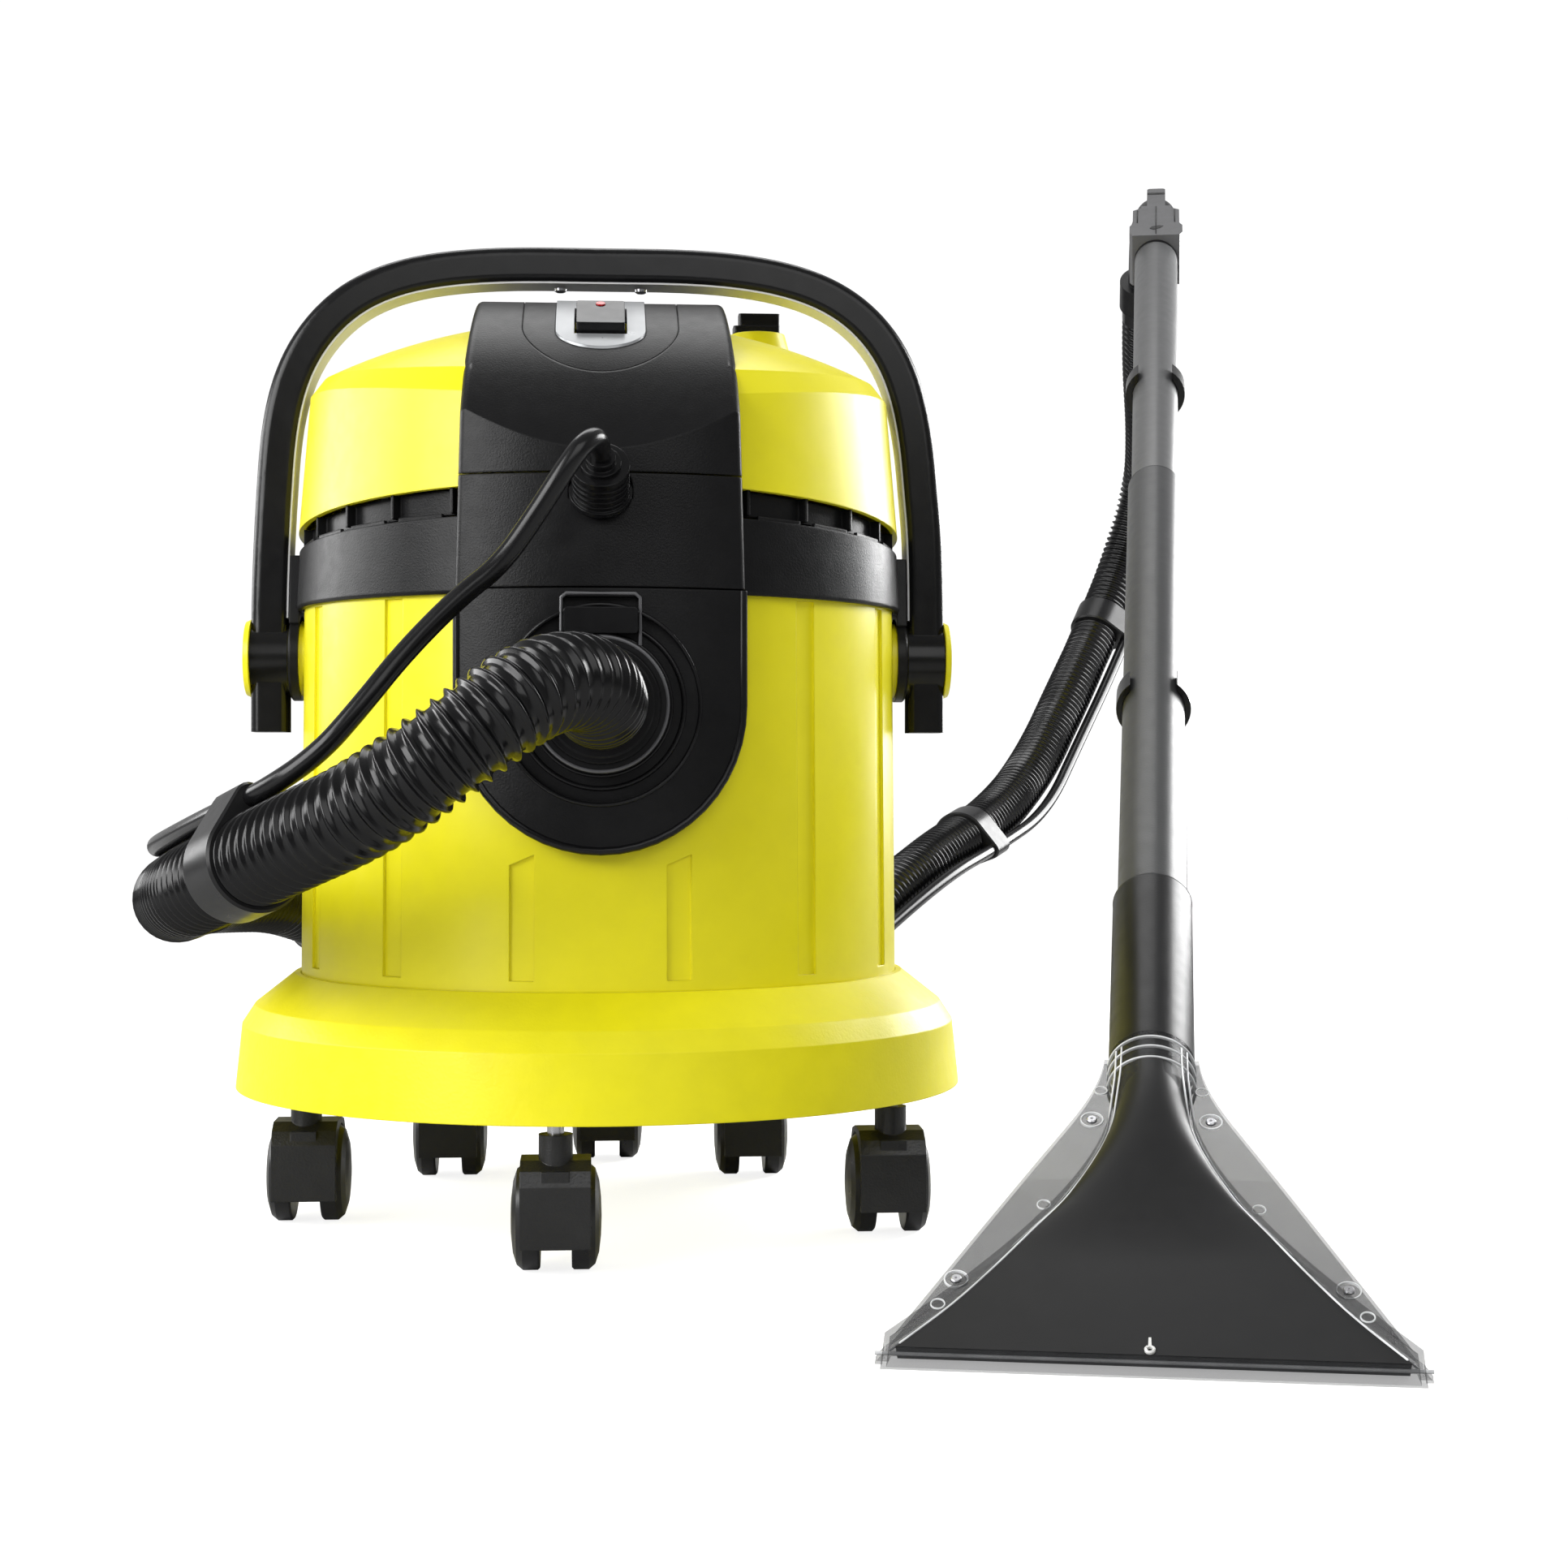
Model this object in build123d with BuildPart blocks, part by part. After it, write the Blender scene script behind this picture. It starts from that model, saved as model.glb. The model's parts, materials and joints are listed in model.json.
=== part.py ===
"""Spot extractor: a round spray-extraction cleaner on casters, with its hoses and floor wand.

Millimetres, +Z up. The origin is on the floor under the middle of the tub and the front is -Y.
"""
import os
from math import cos, radians, sin, sqrt, tan

from build123d import *

os.makedirs("parts", exist_ok=True)

# Chassis: a hollow skirt with a deck, and a lobe behind it
SKIRT_Z = 72.0
SKIRT_R = 191.3
SHOULDER_R, SHOULDER_Z = 181.4, 115.0
DECK_Z = 124.0
LOBE_END, LOBE_WIDTH, LOBE_TOP = 250.0, 150.0, 110.0
SHELL = 3.5

# Tube parking socket on the lobe
PARK_Y, PARK_TOP, PARK_BORE, PARK_DEPTH = 208.0, 152.0, 18.0, 38.0

# Casters: the six stems, as seen from above, and one twin wheel
STEMS = [(-21, -169), (-153, -26), (147, -80), (-88, 120), (88, 112), (4, 181)]
WHEEL_R = 25.0
TRAIL = 14.0
WHEEL_IN, WHEEL_OUT = 7.5, 21.5
HOOD_WIDTH, HOOD_TOP = 33.0, 54.0
BUSH_TOP = 66.0
STEM_R, STEM_TOP = 4.0, 112.0
AXLE_R = 3.0
RUN = 0.05  # radial play of a running fit

# Tub
TUB_LOW_R, TUB_TOP_R = 157.6, 156.0
TUB_TOP = 324.0
TUB_WALL = 3.2
FLUTE_DEPTH, FLUTE_WIDTH, FLUTE_TOP = 1.3, 12.0, 196.0

# Carry bow: a hinged arch over the head
PIVOT_Z = 296.0
BOW_LINE = [(174, 257), (174, 300), (171, 388), (158, 453), (131, 485), (73, 503), (0, 505)]
BOW_THICK, BOW_DEEP = 20.0, 25.0
BOSS_R, PIN_R, CAP_R = 20.0, 6.0, 21.0

# Head: black base with a band, vent gap, yellow cover
BAND_Z, BAND_LOW_R, BAND_TOP_R = 320.5, 160.0, 157.0
BAND_TOP, BAND_SLOPE = 349.0, -0.06  # height over the axis and slope towards the back
COVER_LOW, COVER_SLOPE = 359.0, -0.09
FLOOR_Z = 326.0
COVER_R, CREASE_R, HEAD_WALL = 159.0, 153.0, 3.1
DOME_TOP = 474.0
DOME_WIDE, DOME_LONG, DOME_HIGH = 262.7, 230.7, 200.0  # half axes of the dome's ellipsoid

# Black spine over the head, and its panels
SPINE_R = 166.0
SPINE_ARC = 189.5  # about the bow's pivot axis
SPINE_TOP = 476.0
SPINE_LOW_HALF, SPINE_TOP_HALF = 69.0, 63.0
UPPER_SEAM, LOWER_SEAM = 377.0, 322.8
SEAM = 0.8

# Suction port and spray socket
PORT_Z = 267.0
DISH_R, COLLAR_R, PORT_R, COLLAR_FRONT = 46.6, 32.7, 28.0, 175.0
CUFF_FRONT = 182.0
DISH_Y = 160.0
TAB_WIDTH, TAB_LOW, TAB_HIGH = 35.0, 300.5, 313.0
SOCKET_Z, SOCKET_TILT = 366.0, 35.0

# Floor wand: its lip on the floor, how it leans, and stations along its axis
LIP = (214.8, -377.4, 0)
LEAN, HEADING = 31.72, 12.77
NECK, SOCKET_END, LOWER_END, UPPER_END = 193.0, 321.5, 807.5, 1235.5
SOCKET_R, LOWER_R, UPPER_R, JOINT_R = 19.6, 17.4, 17.0, 15.3
TUBE_BORE = 13.2
PIPE_R, PIPE_OFFSET = 4.0, 23.6
NOZZLE_OUTLINE = [(0, 108), (47, 85.1), (107, 55.8), (139, 39.9), (161, 29.5), (193, 21.4)]
CHANNEL_OUTLINE = [(9, 103), (50, 67.5), (95, 36.6), (131, 20.3), (165, 14), (186, 13.2)]

# Hoses
SUCTION_D, SPRAY_D = 44.0, 10.0
SUCTION_ROUTE = [
    (0, -182, 267), (0, -206, 267), (-5, -238, 276), (-27, -272, 273), (-60, -287, 247),
    (-98, -274, 220), (-133, -240, 205), (-188, -160, 181), (-211, -85, 172), (-222, 5, 169),
    (-217, 95, 167), (-190, 175, 162), (-140, 250, 132), (-75, 325, 82), (0, 395, 38),
    (75, 455, 26), (160, 560, 80), (250, 662, 158), (366, 850, 208), (450, 985, 335),
    (500, 1050, 425), (527, 1046, 515), (518, 991, 563), (503, 942, 614), (494, 894, 662),
]
SPRAY_ROUTE = [
    (0, -186, 381.4), (0, -197, 389.1), (-7, -209, 385), (-15, -211, 374), (-29, -209, 352),
    (-45, -208, 329), (-64, -210, 314), (-88, -213, 289), (-107, -220, 264), (-125, -222, 243),
    (-151, -213, 226), (-179, -173, 215), (-206, -124, 204), (-222, -80, 198), (-231, 5, 196),
    (-225, 96, 194), (-197, 179, 190), (-133, 259, 159), (-67, 332, 109), (6, 396, 69),
    (91, 441, 49), (184, 543, 90), (276, 647, 154), (332, 744, 174), (392, 839, 202),
    (434, 907, 265), (476, 974, 327), (527, 1041, 417), (549, 1027, 509), (533, 967, 544),
    (509, 917, 589), (497, 863, 646), (491, 841, 679),
]
CLIPS = [6, 11, 14, 17, 19]  # a clip sits midway along the suction run that starts at each point

ABOUT_Z = Axis.Z
HEADING_X, HEADING_Y = sin(radians(HEADING)), cos(radians(HEADING))
ALONG = Vector(HEADING_X * cos(radians(LEAN)), HEADING_Y * cos(radians(LEAN)), sin(radians(LEAN)))
ACROSS = Vector(HEADING_Y, -HEADING_X, 0)
WAND = Plane(origin=LIP, x_dir=ACROSS, z_dir=ALONG)  # local Z runs up the tubes
FACE = Plane(origin=LIP, x_dir=ACROSS, z_dir=ACROSS.cross(ALONG))  # local Y runs up the tubes


def on_wand(across, out, station):
    """A point given by its offsets from the tubes' axis and its station along it."""
    return WAND.origin + WAND.x_dir * across + FACE.z_dir * out + WAND.z_dir * station


def radial_plane(angle, radius, z=0.0, tilt=0.0):
    """A plane that faces outwards, its angle counted from the front towards +X."""
    outwards = Vector(sin(radians(angle)), -cos(radians(angle)), tan(radians(tilt)))
    origin = (radius * sin(radians(angle)), -radius * cos(radians(angle)), z)
    return Plane(origin=origin, x_dir=(cos(radians(angle)), sin(radians(angle)), 0), z_dir=outwards)


def sloped(z, slope):
    """A plane at height z over the axis that rises by slope towards the back."""
    return Plane(origin=(0, 0, z), z_dir=(0, -slope, 1))


# ---------------------------------------------------------------- chassis
with BuildPart() as chassis:
    with BuildSketch(Plane.XZ):
        with BuildLine():
            Polyline(
                (0, SKIRT_Z), (SKIRT_R, SKIRT_Z), (187.9, 105), (SHOULDER_R, SHOULDER_Z),
                (163, 129.4), (161, 131), (0, 131), close=True,
            )
        make_face()
    revolve(axis=ABOUT_Z)
    with BuildSketch(Plane.XY.offset(SKIRT_Z)):
        with Locations((0, LOBE_END - 70)):
            RectangleRounded(LOBE_WIDTH, 140, 30)
    extrude(amount=LOBE_TOP - SKIRT_Z, taper=3)
    with BuildSketch(Plane.XY.offset(DECK_Z)):
        Circle(TUB_LOW_R + 0.4)
    extrude(amount=40, mode=Mode.SUBTRACT)
    with BuildSketch(Plane.XZ):
        with BuildLine():
            Polyline(
                (0, SKIRT_Z - 5), (SKIRT_R - SHELL, SKIRT_Z - 5), (SKIRT_R - SHELL, SKIRT_Z),
                (187.9 - SHELL, 104), (SHOULDER_R - SHELL, SHOULDER_Z - 2), (168, 120), (0, 120),
                close=True,
            )
        make_face()
    revolve(axis=ABOUT_Z, mode=Mode.SUBTRACT)
    with BuildSketch(Plane.XY.offset(SKIRT_Z - 5)):
        with Locations((0, LOBE_END - 70)):
            RectangleRounded(LOBE_WIDTH - 2 * SHELL, 140 - 2 * SHELL, 27)
    extrude(amount=LOBE_TOP - SHELL - SKIRT_Z + 5, taper=3, mode=Mode.SUBTRACT)
    with BuildSketch(Plane.XY.offset(SKIRT_Z + 3)):
        with Locations(*STEMS):
            Circle(10.5)
    extrude(amount=LOBE_TOP - SHELL - SKIRT_Z - 1)
    with BuildSketch(Plane.XY.offset(LOBE_TOP - SHELL)):
        with Locations(*STEMS[:5]):
            Circle(10.5)
    extrude(amount=STEM_TOP + 2 - LOBE_TOP + SHELL)
    with BuildSketch(Plane.XY.offset(SKIRT_Z)):
        with Locations(*STEMS):
            Circle(STEM_R + RUN)
    extrude(amount=STEM_TOP - SKIRT_Z + 1, mode=Mode.SUBTRACT)
    with BuildSketch(Plane.XY.offset(LOBE_TOP - 1)):
        with Locations((0, PARK_Y)):
            Circle(PARK_BORE + 4)
    extrude(amount=PARK_TOP - LOBE_TOP + 1)
    with BuildSketch(Plane.XY.offset(PARK_TOP - PARK_DEPTH)):
        with Locations((0, PARK_Y)):
            Circle(PARK_BORE)
    extrude(amount=PARK_DEPTH, mode=Mode.SUBTRACT)
chassis.part.label = "chassis"
export_step(chassis.part, "parts/chassis.step")

# ---------------------------------------------------------------- casters
for k, (x, y) in enumerate(STEMS, start=1):
    side = Plane(origin=(x, y, 0), x_dir=(0, 1, 0), z_dir=(1, 0, 0))  # local X trails, local Y is up
    axle = Axis((x, y + TRAIL, WHEEL_R), (1, 0, 0))

    with BuildPart() as fork:
        with BuildSketch(side.offset(-HOOD_WIDTH / 2)):
            with BuildLine():
                Polyline(
                    (-15, 14), (-15, 43), (-11.5, 50), (-4, HOOD_TOP), (16, HOOD_TOP), (30, 51),
                    (37, 44), (TRAIL, WHEEL_R), (0, 14), close=True,
                )
            make_face()
            with Locations((TRAIL, WHEEL_R)):
                Circle(WHEEL_R + 0.8, mode=Mode.SUBTRACT)
        extrude(amount=HOOD_WIDTH)
        with BuildSketch(side.offset(-6.5)):
            with BuildLine():
                Polyline((-14, 15), (-14, 50), (30, 50), (TRAIL + 10, 26), (TRAIL, 15), close=True)
            make_face()
            with Locations((TRAIL, WHEEL_R)):
                Circle(11)
        extrude(amount=13)
        with BuildSketch(Plane(origin=(x, y, HOOD_TOP - 2))):
            Circle(8)
        extrude(amount=BUSH_TOP - HOOD_TOP + 2)
        with BuildSketch(Plane(origin=(x, y, HOOD_TOP - 12))):
            Circle(STEM_R)
        extrude(amount=40, mode=Mode.SUBTRACT)
        with BuildSketch(side.offset(-10)):
            with Locations((TRAIL, WHEEL_R)):
                Circle(AXLE_R)
        extrude(amount=20, mode=Mode.SUBTRACT)
    fork.part.label = f"caster_{k}_fork"
    export_step(fork.part, f"parts/caster_{k}_fork.step")

    with BuildPart() as pins:
        with BuildSketch(Plane(origin=(x, y, HOOD_TOP - 12))):
            Circle(STEM_R)
        extrude(amount=STEM_TOP - HOOD_TOP + 12)
        with BuildSketch(side.offset(-17)):
            with Locations((TRAIL, WHEEL_R)):
                Circle(AXLE_R)
        extrude(amount=34)
    pins.part.label = f"caster_{k}_pins"
    export_step(pins.part, f"parts/caster_{k}_pins.step")

    with BuildPart() as wheels:
        wheel_plane = Plane(origin=(x, y + TRAIL, WHEEL_R), x_dir=(1, 0, 0), z_dir=(0, -1, 0))
        with BuildSketch(wheel_plane):
            with BuildLine():
                Polyline(
                    (WHEEL_IN, AXLE_R + RUN), (WHEEL_IN, 24), (8.5, WHEEL_R), (15.5, WHEEL_R),
                    (18.5, 22.5), (20.3, 17), (21.2, 9), (WHEEL_OUT, 0), (17.3, 0),
                    (17.3, AXLE_R + RUN), close=True,
                )
            make_face()
        revolve(axis=axle)
        mirror(about=side)
    wheels.part.label = f"caster_{k}_wheels"
    export_step(wheels.part, f"parts/caster_{k}_wheels.step")

# ---------------------------------------------------------------- tub
with BuildPart() as tub:
    with BuildSketch(Plane.XZ):
        with BuildLine():
            Polyline(
                (0, DECK_Z), (TUB_LOW_R - 3, DECK_Z), (TUB_LOW_R, DECK_Z + 4),
                (TUB_TOP_R, TUB_TOP), (TUB_TOP_R - TUB_WALL, TUB_TOP),
                (TUB_LOW_R - TUB_WALL, DECK_Z + TUB_WALL), (0, DECK_Z + TUB_WALL), close=True,
            )
        make_face()
    revolve(axis=ABOUT_Z)
    for side_sign in (-1, 1):
        for angle, slant in ((13.8, 5), (40, 0), (66.2, 0), (118.6, 0), (144.8, 0)):
            top = FLUTE_TOP if slant else BAND_Z - 1
            flute_face = radial_plane(
                side_sign * angle, TUB_LOW_R - FLUTE_DEPTH - 0.35, DECK_Z, tilt=0.46
            )
            with BuildSketch(flute_face):
                with BuildLine():
                    Polyline(
                        (-FLUTE_WIDTH / 2, 12), (FLUTE_WIDTH / 2, 12),
                        (FLUTE_WIDTH / 2, top - DECK_Z), (-FLUTE_WIDTH / 2, top - DECK_Z - slant),
                        close=True,
                    )
                make_face()
            extrude(amount=8, mode=Mode.SUBTRACT)
    with BuildSketch(Plane.XZ.offset(130)):
        with Locations((0, PORT_Z)):
            Circle(COLLAR_R + 0.2)
    extrude(amount=40, mode=Mode.SUBTRACT)
    for side_sign in (-1, 1):
        with BuildSketch(Plane(origin=(side_sign * 154, 0, PIVOT_Z), z_dir=(side_sign, 0, 0))):
            Circle(BOSS_R)
        extrude(amount=9.5)
        with BuildSketch(Plane(origin=(side_sign * 157, 0, PIVOT_Z), z_dir=(side_sign, 0, 0))):
            Circle(PIN_R)
        extrude(amount=10, mode=Mode.SUBTRACT)
tub.part.label = "tub"
export_step(tub.part, "parts/tub.step")

with BuildPart() as pivot_pins:
    for side_sign in (-1, 1):
        with BuildSketch(Plane(origin=(side_sign * 157, 0, PIVOT_Z), z_dir=(side_sign, 0, 0))):
            Circle(PIN_R)
        extrude(amount=26)
pivot_pins.part.label = "pivot_pins"
export_step(pivot_pins.part, "parts/pivot_pins.step")

# ---------------------------------------------------------------- carry bow
with BuildPart() as carry_handle:
    right_side = BOW_LINE[1:]
    left_side = [(-x, z) for x, z in right_side[:-1]]
    with BuildLine(Plane.XZ) as bow_line:
        Line((-BOW_LINE[0][0], BOW_LINE[0][1]), left_side[0])
        Spline(*left_side, *reversed(right_side), tangents=[(0, 1), (0, -1)])
        Line(right_side[0], BOW_LINE[0])
    with BuildSketch(Plane(origin=(-BOW_LINE[0][0], 0, BOW_LINE[0][1]))):
        RectangleRounded(BOW_THICK, BOW_DEEP, 5)
        with Locations((BOW_THICK / 2, 0)):
            Rectangle(7, BOW_DEEP - 3, mode=Mode.SUBTRACT)
    sweep(path=bow_line.wire())
    for side_sign in (-1, 1):
        with BuildSketch(Plane(origin=(side_sign * 164, 0, PIVOT_Z), z_dir=(side_sign, 0, 0))):
            Circle(CAP_R - 3)
        extrude(amount=BOW_THICK)
        with BuildSketch(Plane(origin=(side_sign * 163, 0, PIVOT_Z), z_dir=(side_sign, 0, 0))):
            Circle(PIN_R + RUN)
        extrude(amount=22, mode=Mode.SUBTRACT)
carry_handle.part.label = "carry_handle"
export_step(carry_handle.part, "parts/carry_handle.step")

with BuildPart() as handle_liner:
    with BuildLine(Plane.XZ) as liner_line:
        Spline(*left_side, *reversed(right_side), tangents=[(0, 1), (0, -1)])
    with BuildSketch(Plane(origin=(left_side[0][0], 0, left_side[0][1]), z_dir=(0, 0, 1))):
        with Locations((BOW_THICK / 2 - 1.4, 0)):
            Rectangle(2, BOW_DEEP - 3.4)
    sweep(path=liner_line.wire())
    add(carry_handle.part, mode=Mode.SUBTRACT)
    with BuildSketch(Plane.XY.offset(PIVOT_Z - 20)):
        Rectangle(400, 60)
    extrude(amount=20 + CAP_R, mode=Mode.SUBTRACT)
handle_liner.part.label = "handle_liner"
export_step(handle_liner.part, "parts/handle_liner.step")

with BuildPart() as handle_pivot_caps:
    for side_sign in (-1, 1):
        with BuildSketch(Plane(origin=(side_sign * 184, 0, PIVOT_Z), z_dir=(side_sign, 0, 0))):
            Circle(CAP_R)
        extrude(amount=3, taper=25)
handle_pivot_caps.part.label = "handle_pivot_caps"
export_step(handle_pivot_caps.part, "parts/handle_pivot_caps.step")

# ---------------------------------------------------------------- tanks inside the tub
TANK_R, TANK_LOW, TANK_TOP, TANK_WALL, TANK_SPLIT = 150.0, DECK_Z + 4, 300.0, 2.5, 50.0
for name, sign in (("dirty_tank", -1), ("clean_tank", 1)):
    with BuildPart() as tank:
        for inset, low in ((0, TANK_LOW), (TANK_WALL, TANK_LOW + TANK_WALL)):
            with BuildSketch(Plane.XY.offset(low)):
                Circle(TANK_R - inset)
                with Locations((0, TANK_SPLIT + sign * (1 + inset + TANK_R))):
                    Rectangle(3 * TANK_R, 2 * TANK_R, mode=Mode.INTERSECT)
            extrude(amount=TANK_TOP - low, mode=Mode.SUBTRACT if inset else Mode.ADD)
        with BuildSketch(Plane.XZ.offset(130)):
            with Locations((0, PORT_Z)):
                Circle(COLLAR_R + 1.5)
        extrude(amount=30, mode=Mode.SUBTRACT)
    tank.part.label = name
    export_step(tank.part, f"parts/{name}.step")

# ---------------------------------------------------------------- inlet panel and port
with BuildPart() as inlet_panel:
    with BuildSketch(Plane.XZ.offset(100)):
        with Locations((0, (PORT_Z + LOWER_SEAM - SEAM) / 2)):
            Rectangle(2 * SPINE_LOW_HALF, LOWER_SEAM - SEAM - PORT_Z)
        with Locations((0, PORT_Z)):
            Circle(SPINE_LOW_HALF)
        with Locations((0, LOWER_SEAM - SEAM + 50)):
            Rectangle(3 * SPINE_R, 100, mode=Mode.SUBTRACT)
    extrude(amount=100)
    with BuildSketch(Plane.XY.offset(150)):
        Circle(SPINE_R)
    extrude(amount=200, mode=Mode.INTERSECT)
    with BuildSketch(Plane.XY.offset(150)):
        Circle(TUB_LOW_R + 0.3)
    extrude(amount=BAND_Z - 150, mode=Mode.SUBTRACT)
    with BuildSketch(Plane.XY.offset(BAND_Z - 1)):
        Circle(BAND_LOW_R + 0.3)
    extrude(amount=10, mode=Mode.SUBTRACT)
    with BuildSketch(Plane.XZ.offset(DISH_Y)):
        with Locations((0, PORT_Z)):
            Circle(DISH_R)
        with Locations((0, PORT_Z + 42)):
            Rectangle(TAB_WIDTH + 1.4, 18)
    extrude(amount=20, mode=Mode.SUBTRACT)
    with BuildSketch(Plane.XZ.offset(140)):
        with Locations((0, PORT_Z)):
            Circle(COLLAR_R)
    extrude(amount=COLLAR_FRONT - 140)
    with BuildSketch(Plane.XZ.offset(130)):
        with Locations((0, PORT_Z)):
            Circle(PORT_R)
    extrude(amount=60, mode=Mode.SUBTRACT)
inlet_panel.part.label = "inlet_panel"
export_step(inlet_panel.part, "parts/inlet_panel.step")

with BuildPart() as inlet_release_tab:
    with BuildSketch(Plane.XZ.offset(DISH_Y + 0.4)):
        with Locations((0, (TAB_LOW + TAB_HIGH) / 2)):
            RectangleRounded(TAB_WIDTH, TAB_HIGH - TAB_LOW, 2)
    extrude(amount=8)
inlet_release_tab.part.label = "inlet_release_tab"
export_step(inlet_release_tab.part, "parts/inlet_release_tab.step")

with BuildPart() as hose_port_cuff:
    with BuildSketch(Plane.XZ.offset(145)):
        with Locations((0, PORT_Z)):
            Circle(PORT_R - RUN)
    extrude(amount=COLLAR_FRONT - 144)
    with BuildSketch(Plane.XZ.offset(COLLAR_FRONT + 0.3)):
        with Locations((0, PORT_Z)):
            Circle(SUCTION_D / 2 + 3)
    extrude(amount=CUFF_FRONT - COLLAR_FRONT - 0.3)
    with BuildSketch(Plane.XZ.offset(140)):
        with Locations((0, PORT_Z)):
            Circle(17)
    extrude(amount=60, mode=Mode.SUBTRACT)
hose_port_cuff.part.label = "hose_port_cuff"
export_step(hose_port_cuff.part, "parts/hose_port_cuff.step")

# ---------------------------------------------------------------- head
RIB_STEP, FIRST_RIB, RIB_R, LEDGE_R = 13.1, 27.1, 153.6, 155.6
RIB_ANGLES = [side_sign * (FIRST_RIB + RIB_STEP * n) for n in range(10) for side_sign in (-1, 1)]
FLOAT_R, INTAKE_R, CAGE_R, CAGE_LOW = 25.0, 22.0, 34.0, 262.0

with BuildPart() as ledges:
    for angle in RIB_ANGLES:
        middle = angle + (6.5 if angle < 0 else -6.5)
        with BuildSketch(Plane.XY.offset(BAND_Z + 10)):
            ledge_spot = (LEDGE_R * sin(radians(middle)), -LEDGE_R * cos(radians(middle)))
            with Locations(Location(ledge_spot, middle)):
                Rectangle(26, 1.8)
        extrude(amount=60)
    split(bisect_by=sloped(BAND_TOP + 2, BAND_SLOPE), keep=Keep.BOTTOM)

with BuildPart() as head_base:
    with BuildSketch(Plane.XZ):
        with BuildLine():
            Polyline(
                (INTAKE_R, FLOOR_Z), (TUB_TOP_R + 0.6, FLOOR_Z), (TUB_TOP_R + 0.6, BAND_Z),
                (BAND_LOW_R - 0.8, BAND_Z), (BAND_LOW_R, BAND_Z + 1.5), (BAND_TOP_R, 380),
                (149, 380), (149, FLOOR_Z + 3), (INTAKE_R, FLOOR_Z + 3), close=True,
            )
        make_face()
    revolve(axis=ABOUT_Z)
    split(bisect_by=sloped(BAND_TOP, BAND_SLOPE), keep=Keep.BOTTOM)
    add(ledges.part)
    with BuildSketch(Plane.XY.offset(CAGE_LOW)):
        Circle(CAGE_R)
        Circle(CAGE_R - 2.5, mode=Mode.SUBTRACT)
        Rectangle(16, 2 * CAGE_R + 2, mode=Mode.SUBTRACT)
        Rectangle(2 * CAGE_R + 2, 16, mode=Mode.SUBTRACT)
    extrude(amount=FLOOR_Z - CAGE_LOW)
    with BuildSketch(Plane.XY.offset(CAGE_LOW)):
        Circle(CAGE_R + 1)
        Circle(10, mode=Mode.SUBTRACT)
    extrude(amount=3)
head_base.part.label = "head_base"
export_step(head_base.part, "parts/head_base.step")

with BuildPart() as float_ball:
    with BuildSketch(Plane.XY.offset(CAGE_LOW + 3.5)):
        Circle(FLOAT_R)
    extrude(amount=24)
    fillet(edges().filter_by(GeomType.CIRCLE), radius=5)
float_ball.part.label = "float"
export_step(float_ball.part, "parts/float.step")

with BuildPart() as seals:
    with BuildSketch(Plane.XY.offset(TUB_TOP)):
        Circle(TUB_TOP_R)
        Circle(TUB_TOP_R - 5, mode=Mode.SUBTRACT)
    extrude(amount=FLOOR_Z - TUB_TOP)
    with BuildSketch(Plane.XZ.offset(141)):
        with Locations((0, PORT_Z)):
            Circle(PORT_R)
            Circle(20, mode=Mode.SUBTRACT)
    extrude(amount=3.5)
seals.part.label = "seals"
export_step(seals.part, "parts/seals.step")

with BuildPart() as exhaust_grille:
    with BuildSketch(Plane.XY.offset(BAND_Z + 10)):
        Circle(151.5)
        Circle(149.2, mode=Mode.SUBTRACT)
        for angle in RIB_ANGLES:
            rib_spot = (RIB_R * sin(radians(angle)), -RIB_R * cos(radians(angle)))
            with Locations(Location(rib_spot, angle)):
                Rectangle(1.6, 6)
    extrude(amount=60)
    split(bisect_by=sloped(BAND_TOP + 2.1, BAND_SLOPE), keep=Keep.TOP)
    split(bisect_by=sloped(COVER_LOW, COVER_SLOPE), keep=Keep.BOTTOM)
exhaust_grille.part.label = "exhaust_grille"
export_step(exhaust_grille.part, "parts/exhaust_grille.step")


SPINE_ROUND, SPINE_WALL, BED_HALF = 4.0, 4.0, 61.5


def is_spine_side(edge):
    """Whether an edge runs along one of the spine's two long sides."""
    middle = edge @ 0.5
    return abs(middle.X) > SPINE_TOP_HALF - 1 and middle.Z > LOWER_SEAM - 99


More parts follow.
